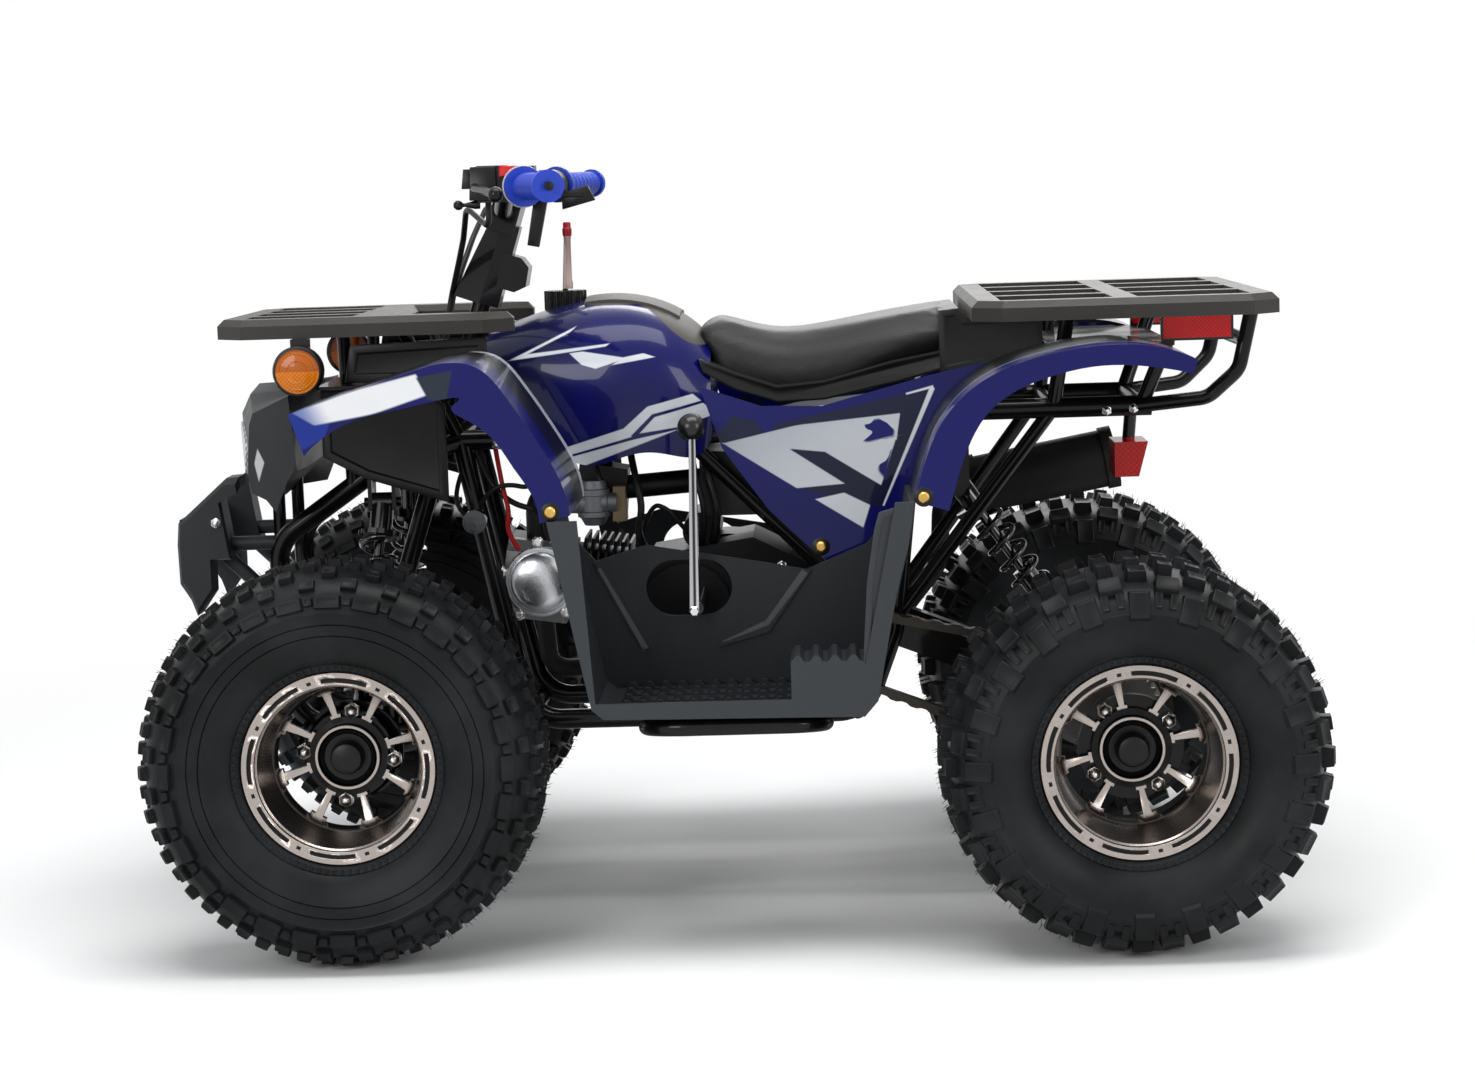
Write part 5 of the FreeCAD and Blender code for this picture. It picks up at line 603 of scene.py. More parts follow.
filler = Finish("filler_cap", Specular_IOR_Level=0.4)
turned_by = filler.node("ShaderNodeMath", {"operation": "ARCTAN2"}, {0: filler.along, 1: filler.across + 0.205})
tube = filler.height.fade(0.772, 0.7725)
filler.tone(tube, HOUSING_BLACK, (0.4, 0.31, 0.28))
filler.cover(filler.height.fade(0.8375, 0.838), (0.42, 0.006, 0.012))
filler.feed("Roughness", filler.noise(60.0, 3.0) * 0.08 + 0.24)
filler.feed("Normal", filler.bump((turned_by * 30.0).wave() * (1.0 - tube), 0.9, 0.003))
dress(filler, "fuel_cap")

switchgear = plastic("switchgear", (0.004, 0.004, 0.0045), (0.008, 0.008, 0.0085), 0.28)
rocker = switchgear.across.band(-0.262, -0.234, 0.0008) * switchgear.height.fade(0.9165, 0.917)
rocker = rocker * (1.0 - switchgear.along.fade(-0.001, 0.001))
switchgear.tone(rocker, HOUSING_BLACK, (0.55, 0.01, 0.012))
dress(switchgear, "hand_controls_left", "hand_controls_right")
print("two-part finishes mixed")

# %% [markdown]
# ## The seat
# The seat is a foam pad under stretched black vinyl. Its grain is a small cellular pebble and
# its sheen is soft, so the bump is Voronoi and the roughness stays near the middle.

# %% Mix the vinyl
vinyl = Finish("seat_vinyl", Specular_IOR_Level=0.25, Sheen_Weight=0.03)
cells = vinyl.node("ShaderNodeTexVoronoi", None, {"Vector": vinyl.place, "Scale": 620.0})
fold = vinyl.noise(8.0, 4.0)
vinyl.tone(fold, (0.006, 0.006, 0.006), (0.013, 0.0125, 0.012))
vinyl.feed("Roughness", fold * 0.16 + 0.38)
vinyl.feed("Normal", vinyl.bump(cells, 0.4, 0.0006, vinyl.bump(fold, 0.25, 0.004)))
dress(vinyl, "seat")
print("vinyl mixed")

# %% [markdown]
# ## Working by hand in code
# The pieces below are made with the operators that a modeller clicks: add a primitive, pick
# faces, inset, extrude, spin, bevel. An operator works on whatever is selected, so these small
# helpers clear the selection first, and pick faces by a test on their centre and normal.

# %% Selection helpers
def only(*items):
    """Select just these objects, the first one active."""
    bpy.ops.object.select_all(action="DESELECT")
    for item in items:
        item.select_set(True)
    bpy.context.view_layer.objects.active = items[0]


def added(operator, **options):
    """Run an add operator with nothing else selected, and give its object."""
    bpy.ops.object.select_all(action="DESELECT")
    operator(**options)
    return bpy.context.active_object


def pick(item, test):
    """In face mode, select the faces whose centre and normal pass a test."""
    bpy.ops.object.mode_set(mode="OBJECT")
    bpy.context.tool_settings.mesh_select_mode = (False, False, True)
    mesh = item.data
    for part in (*mesh.vertices, *mesh.edges):
        part.select = False
    for face in mesh.polygons:
        face.select = bool(test(face.center, face.normal))
    bpy.ops.object.mode_set(mode="EDIT")


def pick_all(item):
    """Open a mesh for editing with all of it selected."""
    only(item)
    bpy.ops.object.mode_set(mode="EDIT")
    bpy.ops.mesh.select_all(action="SELECT")


def leave():
    bpy.ops.object.mode_set(mode="OBJECT")


def face_outwards():
    """Turn all normals out, and go back to object mode."""
    bpy.ops.mesh.select_all(action="SELECT")
    bpy.ops.mesh.normals_make_consistent(inside=False)
    leave()


print("selection helpers ready")

# %% Helpers that finish a mesh
def fix(item):
    """Write an object's move, turn and scale into its mesh."""
    only(item)
    bpy.ops.object.transform_apply(location=True, rotation=True, scale=True)
    return item


def use_modifiers(item):
    only(item)
    for modifier in list(item.modifiers):
        bpy.ops.object.modifier_apply(modifier=modifier.name)
    return item


def merge(items):
    """Join objects into the first one."""
    only(*items)
    bpy.ops.object.join()
    return items[0]


def rounded(item, width, segments=1, angle=0.6):
    bevel = item.modifiers.new("edge_round", "BEVEL")
    bevel.width, bevel.segments, bevel.limit_method, bevel.angle_limit = width, segments, "ANGLE", angle
    return use_modifiers(item)


def smooth(item, angle=0.7):
    only(item)
    bpy.ops.object.shade_smooth_by_angle(angle=angle)
    return item


def settle(item, name, finish, body="root", at=None, turned_by=(0, 0, 0)):
    """A finished piece: its place in its mesh, its finish on it, riding on a body."""
    if at:
        item.location, item.rotation_euler = at, turned_by
    fix(item)
    item.name = name
    item.data.materials.clear()
    item.data.materials.append(finish.material)
    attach(item, body)
    return item


print("finishing helpers ready")

# %% Helpers that start a shape
def block(place, size):
    item = added(bpy.ops.mesh.primitive_cube_add, size=1, location=place)
    item.scale = size
    return fix(item)


def spun(points, steps):
    """Turn an outline of (radius, along) points about the Y axis."""
    item = added(bpy.ops.mesh.primitive_plane_add, size=0.01, location=(0, 0, 0))
    bpy.context.tool_settings.mesh_select_mode = (True, False, False)
    bpy.ops.object.mode_set(mode="EDIT")
    bpy.ops.mesh.merge(type="CENTER")
    bpy.ops.transform.translate(value=(*points[0], 0))
    for before, after in zip(points, points[1:]):
        bpy.ops.mesh.extrude_region_move(
            TRANSFORM_OT_translate={"value": (after[0] - before[0], after[1] - before[1], 0)})
    bpy.ops.mesh.select_all(action="SELECT")
    bpy.ops.mesh.spin(steps=steps, angle=2 * math.pi, center=(0, 0, 0), axis=(0, 1, 0))
    bpy.ops.mesh.select_all(action="SELECT")
    bpy.ops.mesh.remove_doubles(threshold=0.00001)
    face_outwards()
    return item


def lathe(points, steps=24, angle=0.7):
    """A smooth turned piece from an outline in millimetres."""
    return smooth(spun(mm(points), steps), angle)


print("shape helpers ready")

# %% Helpers that repeat a shape
def arc_of(item, count, start, step):
    """Copies of a piece made at the top of a wheel, from an angle on, turned about the Y axis.

    Angles run from +X towards +Z, as seen from the left side.
    """
    only(item)
    item.rotation_euler = (0, math.pi / 2 - start, 0)
    fix(item)
    bpy.ops.object.empty_add(location=(0, 0, 0))
    pivot = bpy.context.active_object
    pivot.rotation_euler = (0, -step, 0)
    bpy.context.view_layer.update()
    array = item.modifiers.new("ring", "ARRAY")
    array.count, array.use_relative_offset, array.use_object_offset = count, False, True
    array.offset_object = pivot
    use_modifiers(item)
    bpy.data.objects.remove(pivot)
    return item


def ring_of(item, count, phase=0.0):
    """Copy a piece evenly round the Y axis through the origin."""
    return arc_of(item, count, math.pi / 2 + 2 * math.pi * phase / count, 2 * math.pi / count)


def mirrored(item):
    """The same piece on the other side, with its own mesh and its faces turned out."""
    twin = item.copy()
    twin.data = item.data.copy()
    bpy.context.scene.collection.objects.link(twin)
    twin.scale = (1, -1, 1)
    fix(twin)
    pick_all(twin)
    bpy.ops.mesh.flip_normals()
    leave()
    return twin


print("copying helpers ready")

# %% [markdown]
# ## Tyres
# The CAD tyres carry the right size and the main lugs. A real knobbly tyre has four rows of
# blocks a side, each with a sunk top, two fine grooves in the sidewall, a toothed band at the
# bead and the thin vent hairs that the mould leaves. One block is made and ringed round the
# axle for each row. The carcass is one outline, spun.

# %% Make one tread block
TREAD_DRAFT, TREAD_SUNK, TREAD_RIM, TREAD_EDGE = 0.84, 0.0016, 0.16, 0.0009
BEAD_TOOTH = (0.0042, 0.003, 0.0052)
HAIR = {"vertices": 3, "radius1": 0.0006, "radius2": 0.0002, "depth": 0.0085}
WHEEL_STEPS = 96


def tread_block(long, wide, tall, reach, offset, tilt):
    """A block with drafted sides and a sunk top, at a radius, an offset along the axle and a tilt."""
    item = block((0, 0, tall / 2), (long, wide, tall))
    pick(item, lambda centre, normal: normal.z > 0.9)
    bpy.ops.transform.resize(value=(TREAD_DRAFT, TREAD_DRAFT, 1), center_override=(0, 0, tall))
    bpy.ops.mesh.inset(thickness=min(long, wide) * TREAD_RIM, depth=-TREAD_SUNK)
    leave()
    rounded(item, TREAD_EDGE)
    item.rotation_euler = (-tilt, 0, 0)
    item.location = (0, offset, reach)
    return fix(item)


# A row is a block's length, width, height, radius and offset in mm, its tilt and its phase.
TREADS = {
    "front": {
        "outline": [(114.5, 56), (115, 64), (117.5, 67.2), (123.5, 70), (124.5, 69.2), (125.5, 70.6), (135, 77),
                    (147, 82.5), (158.2, 85.8), (159, 84.6), (159.8, 86.2), (171.2, 87.4), (172, 86),
                    (172.8, 87.4), (183, 87.2), (185, 88), (187, 86.8), (202, 83.5), (213, 76.5), (222, 64),
                    (228, 46), (231, 24), (231.8, 0)],
        "count": 28, "bead": 84, "bead_at": (0.1205, 0.069),
        "rows": [(17, 16, 10.6, 229.7, -10.5, 0.02, 0.0), (16, 16, 11, 228.2, -33, 0.14, 0.5),
                 (18, 16, 11, 223.5, -54, 0.42, 0.0), (20, 15, 10.5, 214, -71, 0.86, 0.5),
                 (33, 16, 7, 197.5, -83.5, 1.28, 0.0), (11, 10, 6, 199, -83, 1.28, 0.5)],
        "hairs": (-70, 228)},
    "rear": {
        "outline": [(114.5, 76), (115, 85), (117.5, 89), (123.5, 92.5), (124.5, 91.7), (125.5, 93.2),
                    (136, 104), (149, 112), (163, 116), (174, 116.8), (176, 118), (178, 116.6), (188, 113),
                    (198, 104), (206, 90), (211.5, 68), (214, 40), (214.6, 0)],
        "count": 20, "bead": 84, "bead_at": (0.1205, 0.0912),
        "rows": [(20, 26, 16, 212.2, -15.5, 0.02, 0.0), (19, 22, 16, 211.8, -44, 0.1, 0.5),
                 (25, 22, 15.5, 208.5, -70, 0.26, 0.0), (30, 24, 15, 200, -93, 0.66, 0.5),
                 (26, 36, 8, 183.5, -108.5, 1.24, 0.0), (10, 22, 7, 190, -106, 1.16, 0.36),
                 (10, 22, 7, 190, -106, 1.16, 0.64)],
        "hairs": (18, 236)}}


print("tread rows", {name: len(tread["rows"]) for name, tread in TREADS.items()})

# %% Build the tyres
SIDES = ((-1, "left"), (1, "right"))


def tyre(prefix):
    """The left tyre of an axle, on its own axle at the origin."""
    tread = TREADS[prefix]
    half = mm(tread["outline"])
    outline = [(radius, -offset) for radius, offset in half] + half[-2::-1]
    parts = [spun(outline, WHEEL_STEPS)]
    for *sizes, tilt, phase in tread["rows"]:
        long, wide, tall, reach, offset = (size * MM for size in sizes)
        for side in (1, -1):
            item = tread_block(long, wide, tall, reach, offset * side, -tilt * side)
            parts.append(ring_of(item, tread["count"], phase + (0.5 if side < 0 and offset > -0.03 else 0)))
    reach, offset = tread["bead_at"]
    for side in (1, -1):
        tooth = block((0, -offset * side, reach), BEAD_TOOTH)
        parts.append(ring_of(tooth, tread["bead"]))
    start, sweep = tread["hairs"]
    for number, (_, _, tall, reach, offset, tilt, _) in enumerate(tread["rows"][:5]):
        for side in (1, -1):
            hair = added(bpy.ops.mesh.primitive_cone_add, **HAIR)
            hair.location = (0.004 * (number - 2), offset * side * MM, (reach + tall) * MM)
            hair.rotation_euler = (tilt * side, 0.25 * (number - 2), 0)
            fix(hair)
            count = 31 + 3 * number
            parts.append(arc_of(hair, count, math.radians(start + number * 2), math.radians(sweep) / count))
    return smooth(merge(parts))


def hang(item, prefix, side, name, label, finish):
    """Settle a piece made at the origin on a wheel's axle, riding on that wheel's body."""
    centre_x, centre_z, half_span = WHEEL_PLACES[prefix]
    body = f"wheel_front_{name}" if prefix == "front" else "rear_axle"
    settle(item, label, finish, body, (centre_x, side * half_span, centre_z))


for prefix in WHEEL_PLACES:
    made = tyre(prefix)
    for item, (side, name) in zip((made, mirrored(made)), SIDES):
        hang(item, prefix, side, name, f"tread_{prefix}_{name}", tyre_rubber)
        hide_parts(f"tyre_{prefix}_{name}")
    print(prefix, "tyre", len(made.data.polygons), "faces")

# %% [markdown]
# ## Wheels
# The CAD rims have eight plain windows. The real castings have wide windows with rounded
# corners between narrow spokes, long slots in the flange and a thin turned ring round the hub
# cap. One outline is spun, then each window's front and back faces are bridged into a tunnel,
# and the slots are inset and pushed in.

# %% Shape a rim
SPOKE_SECTOR, SECTOR_PARTS = 45, 12


def polar_place(centre):
    """A point's radius, its spoke sector, and how many twelfths of that sector it lies in."""
    angle = math.degrees(math.atan2(centre.z, centre.x)) % 360
    part = angle % SPOKE_SECTOR / SPOKE_SECTOR * SECTOR_PARTS
    return math.hypot(centre.x, centre.z), angle // SPOKE_SECTOR, part


def in_window(centre, normal, window):
    radius, sector, part = polar_place(centre)
    wide = 1 < part < 11 if 0.0512 < radius < 0.0785 else 2 < part < 10
    return sector == window and 0.047 < radius < 0.083 and wide and abs(normal.y) > 0.5


def in_slot(centre, normal):
    radius, _, part = polar_place(centre)
    return 0.1012 < radius < 0.1068 and normal.y < -0.9 and 2 < part < 10


def rim_shape(prefix):
    half, disc, wall = RIM_HALVES[prefix], DISC_OFFSETS[prefix], 0.008
    lip = 0.034 - half
    dish = [(0.047, 0.0), (0.0512, 0.0006), (0.062, 0.0028), (0.0785, 0.0085), (0.083, 0.0115),
            (0.0868, 0.0185), (0.0895, 0.03), (0.095, disc - lip)]
    front = [(0.023, disc), (0.0345, disc), (0.0345, disc - 0.0115), (0.0352, disc - 0.012),
             (0.038, disc - 0.012), (0.039, disc - 0.011), (0.039, disc)]
    front += [(radius, disc - rise) for radius, rise in dish]
    flange = [(0.0955, 0.007 - half), (0.0975, 0.005 - half), (0.0978, 0.0004 - half), (0.0984, -half),
              (0.1012, -half), (0.1068, -half), (0.1126, -half), (0.114, 0.0014 - half),
              (0.114, 0.007 - half), (0.101, 0.009 - half), (0.101, half - 0.007), (0.114, half - 0.007),
              (0.114, half - 0.001), (0.113, half), (0.095, half)]
    back = [(radius, disc - rise + wall) for radius, rise in reversed(dish)]
    item = spun(front + flange + back + [(0.023, disc + wall), (0.023, disc)], WHEEL_STEPS)
    for window in range(8):
        pick(item, lambda centre, normal: in_window(centre, normal, window))
        bpy.ops.mesh.bridge_edge_loops()
        leave()
    pick(item, in_slot)
    bpy.ops.mesh.inset(thickness=0.0006, depth=-0.0003)
    bpy.ops.mesh.extrude_region_move(TRANSFORM_OT_translate={"value": (0, 0.003, 0)})
    leave()
    rounded(item, 0.0009, 2, 0.9)
    item.rotation_euler = (0, -RIM_TURNS[prefix], 0)
    return smooth(fix(item), 0.55)


for prefix in WHEEL_PLACES:
    made = rim_shape(prefix)
    for item, (side, name) in zip((made, mirrored(made)), SIDES):
        hang(item, prefix, side, name, f"casting_{prefix}_{name}", RIM_FINISHES[prefix])
        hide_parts(f"rim_{prefix}_{name}")
    print(prefix, "rim", len(made.data.polygons), "faces")

# %% [markdown]
# ## Hub caps, wheel nuts and valves
# Four plated dome nuts hold each wheel, in every second window. A black cap with a raised
# centre closes the hub, and a brass valve stem stands in the barrel.

# %% Make the hub hardware
plated = bare_metal("plated_nut", (0.66, 0.65, 0.64), (0.8, 0.79, 0.78), 0.2, 300.0)
brass = bare_metal("brass_fitting", (0.55, 0.34, 0.08), (0.7, 0.46, 0.14), 0.24, 400.0)
cap_black = plastic("cap_black", (0.003, 0.003, 0.0034), (0.006, 0.006, 0.0065), 0.24)
FIRST_NUTS = {"front": 83.8, "rear": 34.7}
VALVE_STEPS = {"front": -45, "rear": 45}
CAP_DEPTHS = {"front": 0.0245, "rear": 0.0285}
NUT_CIRCLE, VALVE_CIRCLE = 0.0535, 0.0865


def on_circle(radius, degrees, along=0.0):
    """A point on a circle about the Y axis."""
    angle = math.radians(degrees)
    return Vector((radius * math.cos(angle), along, radius * math.sin(angle)))


def dome_nut(across_flats, tall):
    """A hexagon nut with a washer face and a domed end, pointing along -Y."""
    item = fix(added(bpy.ops.mesh.primitive_cylinder_add, vertices=6, radius=across_flats / 1.732,
                     depth=tall * 0.5, location=(0, 0, tall * 0.25)))
    pick(item, lambda centre, normal: normal.z > 0.9)
    for share, rise in ((0.1, 0.04), (0.1, 0.22), (0.14, 0.16), (0.1, 0.08)):
        bpy.ops.mesh.inset(thickness=across_flats * share * 0.9, depth=tall * rise)
    leave()
    pick(item, lambda centre, normal: normal.z < -0.9)
    bpy.ops.mesh.inset(thickness=-across_flats * 0.12, depth=0)
    leave()
    rounded(item, across_flats * 0.03)
    item.rotation_euler = (math.pi / 2, 0, 0)
    return smooth(fix(item), 0.9)


def hub_hardware(prefix, side, name):
    disc, deep = DISC_OFFSETS[prefix], CAP_DEPTHS[prefix]
    made = []
    for number in range(4):
        nut = dome_nut(0.0165, 0.016)
        nut.location = on_circle(NUT_CIRCLE, FIRST_NUTS[prefix] + 90 * number, disc + 0.0075)
        made.append((fix(nut), plated, f"nut_{prefix}_{name}_{number}"))
    cap = smooth(spun([(0.0, disc + 0.002), (0.0325, disc + 0.002), (0.0325, disc - 0.0075),
                       (0.03, disc - 0.0095), (0.0275, disc - 0.007), (0.0205, disc - 0.0066),
                       (0.019, disc + 0.0065 - deep), (0.0172, disc + 0.0028 - deep),
                       (0.0125, disc + 0.0008 - deep), (0.0, disc - deep)], 48))
    made.append((cap, cap_black, f"hub_cap_{prefix}_{name}"))
    stem = lathe([(0, 0), (4.2, 0), (4, -6), (3, -9), (3, -18), (3.4, -18.5), (3.4, -26), (2.6, -27.5),
                  (0, -27.8)], 20)
    angle = FIRST_NUTS[prefix] + VALVE_STEPS[prefix]
    stem.rotation_euler = (-0.55, math.pi / 2 - math.radians(angle), 0)
    stem.location = on_circle(VALVE_CIRCLE, angle, disc - 0.018)
    made.append((fix(stem), brass, f"valve_{prefix}_{name}"))
    for item, finish, label in made:
        if side > 0:
            twin = mirrored(item)
            bpy.data.objects.remove(item)
            item = twin
        hang(item, prefix, side, name, label, finish)
    return len(made)


for prefix in WHEEL_PLACES:
    for side, name in SIDES:
        print(prefix, name, hub_hardware(prefix, side, name), "hub pieces")

# %% [markdown]
# ## The padded seat
# Foam under vinyl swells between its edges. The CAD seat gives the place and size, so a copy is
# drawn in a little, remeshed to even cells and blown up as cloth with its movement capped.

# %% Swell the seat
SEAT_CELL, SEAT_PRESSURE, SEAT_CAP = 0.0055, 4.0, 0.006
CLOTH_STIFFNESS, CLOTH_STEPS = 30, 20


def copy_of(node):
    """A merged copy of a CAD node's mesh, free to be shaped."""
    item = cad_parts[node].copy()
    item.data = item.data.copy()
    item.parent = None
    bpy.context.scene.collection.objects.link(item)
    pick_all(item)
    bpy.ops.mesh.remove_doubles(threshold=0.00002)
    face_outwards()
    return item


def swell(item, pressure, cap):
    """Blow a closed pad up as cloth, and let no point move further than the cap."""
    rest = [vertex.co.copy() for vertex in item.data.vertices]
    settings = item.modifiers.new("cloth", "CLOTH").settings
    settings.use_pressure, settings.uniform_pressure_force = True, pressure
    settings.effector_weights.gravity = 0
    settings.tension_stiffness = settings.compression_stiffness = CLOTH_STIFFNESS
    for step in range(1, CLOTH_STEPS + 1):
        bpy.context.scene.frame_set(step)
    shaped = item.evaluated_get(bpy.context.evaluated_depsgraph_get())
    moved = [vertex.co.copy() for vertex in shaped.data.vertices]
    item.modifiers.clear()
    for vertex, start, end in zip(item.data.vertices, rest, moved):
        shift = end - start
        vertex.co = start + shift * min(1.0, cap / max(shift.length, 1e-9))
    bpy.context.scene.frame_set(1)


pad = copy_of("seat")
middle = sum((Vector(corner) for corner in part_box("seat")), Vector()) / 2
pick_all(pad)
bpy.ops.transform.resize(value=(0.976, 0.955, 0.955), center_override=tuple(middle))
leave()
remesh = pad.modifiers.new("even_cells", "REMESH")
remesh.mode, remesh.voxel_size = "VOXEL", SEAT_CELL
use_modifiers(pad)
swell(pad, SEAT_PRESSURE, SEAT_CAP)
relax = pad.modifiers.new("relax", "SMOOTH")
relax.factor, relax.iterations = 0.5, 6
finer = pad.modifiers.new("finer", "SUBSURF")
finer.levels = finer.render_levels = 1
use_modifiers(pad)
settle(smooth(pad, 1.2), "seat_pad", vinyl)
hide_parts("seat")
print("seat pad", len(pad.data.polygons), "faces")

# %% [markdown]
# ## Fasteners
# Gold button bolts hold the wings and side panels, with a black washer under each. Chrome dome
# nuts hold the frame joints. A ray cast along Y finds the surface that each one sits on, so the
# bolt's place is only given in side view.

# %% Fit the bolts
def surface(node, x, z, side):
    """Where a line along Y from outside meets a CAD node, or None."""
    hit, place, _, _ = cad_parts[node].ray_cast(Vector((x, side * 1.0, z)), Vector((0, -side, 0)))
    return place.y if hit else None


def button_bolt():
    return lathe([(0, 3), (7, 3), (7, -1.6), (6.2, -4), (4.6, -5.2), (3, -5.3), (2.8, -3), (0, -3)], 24, 0.5)


def washer():
    return lathe([(0, 4), (11.2, 4), (11.2, -0.6), (10.4, -1.2), (0, -1.2)])


def fit(item, name, finish, at, side, body="root"):
    """Settle a piece that was made for the left side, turned round for the right one."""
    return settle(item, name, finish, body, at, (0, 0, math.pi if side > 0 else 0))


PANEL_BOLTS = [("front_fender", -0.199, 0.531), ("side_panel", 0.11, 0.458), ("rear_fender", 0.23, 0.536)]
FRAME_NUTS = [("rear_subframe", 0.464, 0.608), ("rear_subframe", 0.497, 0.61), ("swingarm", 0.19, 0.3),
              ("front_frame", -0.44, 0.54), ("frame", -0.29, 0.585), ("engine", -0.12, 0.455),
              ("engine", 0.06, 0.42), ("engine", -0.06, 0.33), ("rack_supports", 0.4, 0.7),
              ("front_bumper", -0.64, 0.5), ("front_bumper", -0.6, 0.48), ("rear_sprocket", 0.467, 0.27),
              ("brake_disc", 0.467, 0.29)]
fitted = 0
for number, (node, x, z) in enumerate(PANEL_BOLTS):
    for side, name in SIDES:
        y = surface(f"side_panel_{name}" if node == "side_panel" else node, x, z, side)
        fit(button_bolt(), f"panel_bolt_{number}_{name}", brass, (x, y, z), side)
        fit(washer(), f"panel_washer_{number}_{name}", cap_black, (x, y + side * 0.0001, z), side)
        fitted += 2
for number, (node, x, z) in enumerate(FRAME_NUTS):
    for side, name in SIDES:
        y = surface(node, x, z, side)
        if y is not None:
            body = "rear_axle" if node in ("rear_sprocket", "brake_disc") else "root"
            nut_at = (x, y - side * 0.0006, z)
            fit(dome_nut(0.0115, 0.009), f"frame_nut_{number}_{name}", plated, nut_at, side, body)
            fitted += 1
print("fasteners", fitted)

# %% [markdown]
# ## Lamp rims and engine covers
# The amber lamps have a domed lens in a black rim. The engine's round cover is a polished dome
# inside a cast ring with small screws. Each is one outline, spun about the Y axis.

# %% Spin the round covers
polished = bare_metal("polished_cover", (0.5, 0.51, 0.53), (0.62, 0.63, 0.65), 0.2, 120.0)
for side, name in SIDES:
    lamp_at = (-0.514, side * 0.2, 0.69)
    rim = lathe([(26.2, 4), (30.2, 2), (30.6, -15), (29, -18.5), (26.8, -19), (26.2, -16.5), (26.2, 4)], 40)
    fit(rim, f"amber_rim_{name}", cap_black, lamp_at, side)
    dome = lathe([(0, -10), (26.2, -10), (26.2, -17), (21.5, -19.6), (21, -19.2), (13, -21.4),
                  (12.4, -20.8), (6, -21.8), (0, -22)], 40, 0.35)
    fit(dome, f"amber_dome_{name}", amber, lamp_at, side)

COVER_X, COVER_Z, SCREW_CIRCLE = -0.243, 0.41, 0.05
cover_y = surface("engine", COVER_X, COVER_Z, -1)
cover_at = Vector((COVER_X, cover_y, COVER_Z))
cover = lathe([(0, 4), (44.5, 4), (44.5, -1.5), (43, -3), (40, -3), (39.2, -1), (37.8, -1), (36.6, -6),
               (32.5, -9.5), (24, -12.5), (12, -14.2), (0, -14.6)], 64, 0.5)
settle(cover, "engine_round_cover", polished, at=cover_at)
for number in range(5):
    screw_at = cover_at + on_circle(SCREW_CIRCLE, 20 + 72 * number, -0.0002)
    settle(button_bolt(), f"cover_screw_{number}", plated, at=screw_at)
print("round covers at", round(cover_y, 4))

# %% [markdown]
# ## Handlebar fittings
# Beside the left grip are a white collar, a master cylinder box with its lid and screws, a
# ball-ended choke lever, a small toggle and the tail of the brake lever. Each starts from a
# block or an outline and is tapered, inset and bevelled, then placed on the bar.

# %% Make the handlebar fittings
BOX_TOP, BOX_LIP, BOX_SINK = (0.9, 0.9), 0.0015, 0.0008


def tapered_block(place, size, top=BOX_TOP, lip=BOX_LIP, edge=0.0012):
    """A moulded box: its top drawn in, inset and sunk, its edges rounded."""
    item = block(place, size)
    high = place[2] + size[2] / 2
    pick(item, lambda centre, normal: normal.z > 0.9)
    bpy.ops.transform.resize(value=(*top, 1), center_override=(place[0], place[1], high))
    bpy.ops.mesh.inset(thickness=lip, depth=-BOX_SINK)
    leave()
    return smooth(rounded(item, edge, 2), 0.6)


BAR_SWEEP, ORIGIN = 0.29, (0, 0, 0)
collar_white = plastic("collar_white", (0.5, 0.5, 0.49), (0.62, 0.62, 0.6), 0.34)
lever_black = plastic("lever_black", (0.003, 0.003, 0.0035), (0.007, 0.007, 0.0075), 0.18)
red_cap = plastic("button_red", (0.42, 0.006, 0.008), (0.55, 0.01, 0.012), 0.26)
ring = lathe([(13, 2), (24.8, 2), (25.4, 0), (24.8, -2), (13, -2), (13, 2)], 40)
settle(ring, "grip_collar", collar_white, "steering", (-0.2325, -0.2195, 0.903), (0, 0, BAR_SWEEP))
BOXES = [("stop_button", red_cap, (-0.247, -0.215, 0.922), (0.028, 0.016, 0.013), (0.8, 0.8), BOX_LIP),
         ("master_cylinder", lever_black, (-0.281, -0.196, 0.908), (0.034, 0.04, 0.04), BOX_TOP, BOX_LIP),
         ("cylinder_lid", cap_black, (-0.281, -0.196, 0.927), (0.031, 0.037, 0.003), BOX_TOP, 0.003),
         ("toggle", cap_black, (-0.301, -0.2, 0.914), (0.014, 0.012, 0.024), (0.6, 0.8), BOX_LIP)]
for name, finish, place, size, top, lip in BOXES:
    settle(tapered_block(place, size, top, lip), name, finish, "steering")
for number, (dx, dy) in enumerate(((-0.011, -0.014), (0.011, 0.014))):
    screw = button_bolt()
    screw.rotation_euler, screw.scale = (-math.pi / 2, 0, 0), (0.35, 0.35, 0.14)
    settle(fix(screw), f"lid_screw_{number}", plated, "steering", (-0.281 + dx, -0.196 + dy, 0.927))
choke = lathe([(0, 6), (3, 5.6), (5.8, 2), (6, -1), (4.6, -4), (2.6, -5.6), (2.2, -8), (5.2, -20), (5, -26),
               (0, -26.2)])
settle(choke, "choke_lever", lever_black, "steering", (-0.313, -0.2, 0.883), (0, 0, math.pi / 2))
blade = tapered_block(ORIGIN, (0.017, 0.011, 0.064), (0.86, 0.8), edge=0.005)
settle(blade, "lever_tail", lever_black, "steering", (-0.2185, -0.2, 0.862), (math.pi, 0.2, 0))
thumb = tapered_block(ORIGIN, (0.046, 0.007, 0.022), (0.8, 0.9), edge=0.003)
settle(thumb, "thumb_throttle", lever_black, "steering", (-0.202, 0.206, 0.886), (0, -0.25, 0))
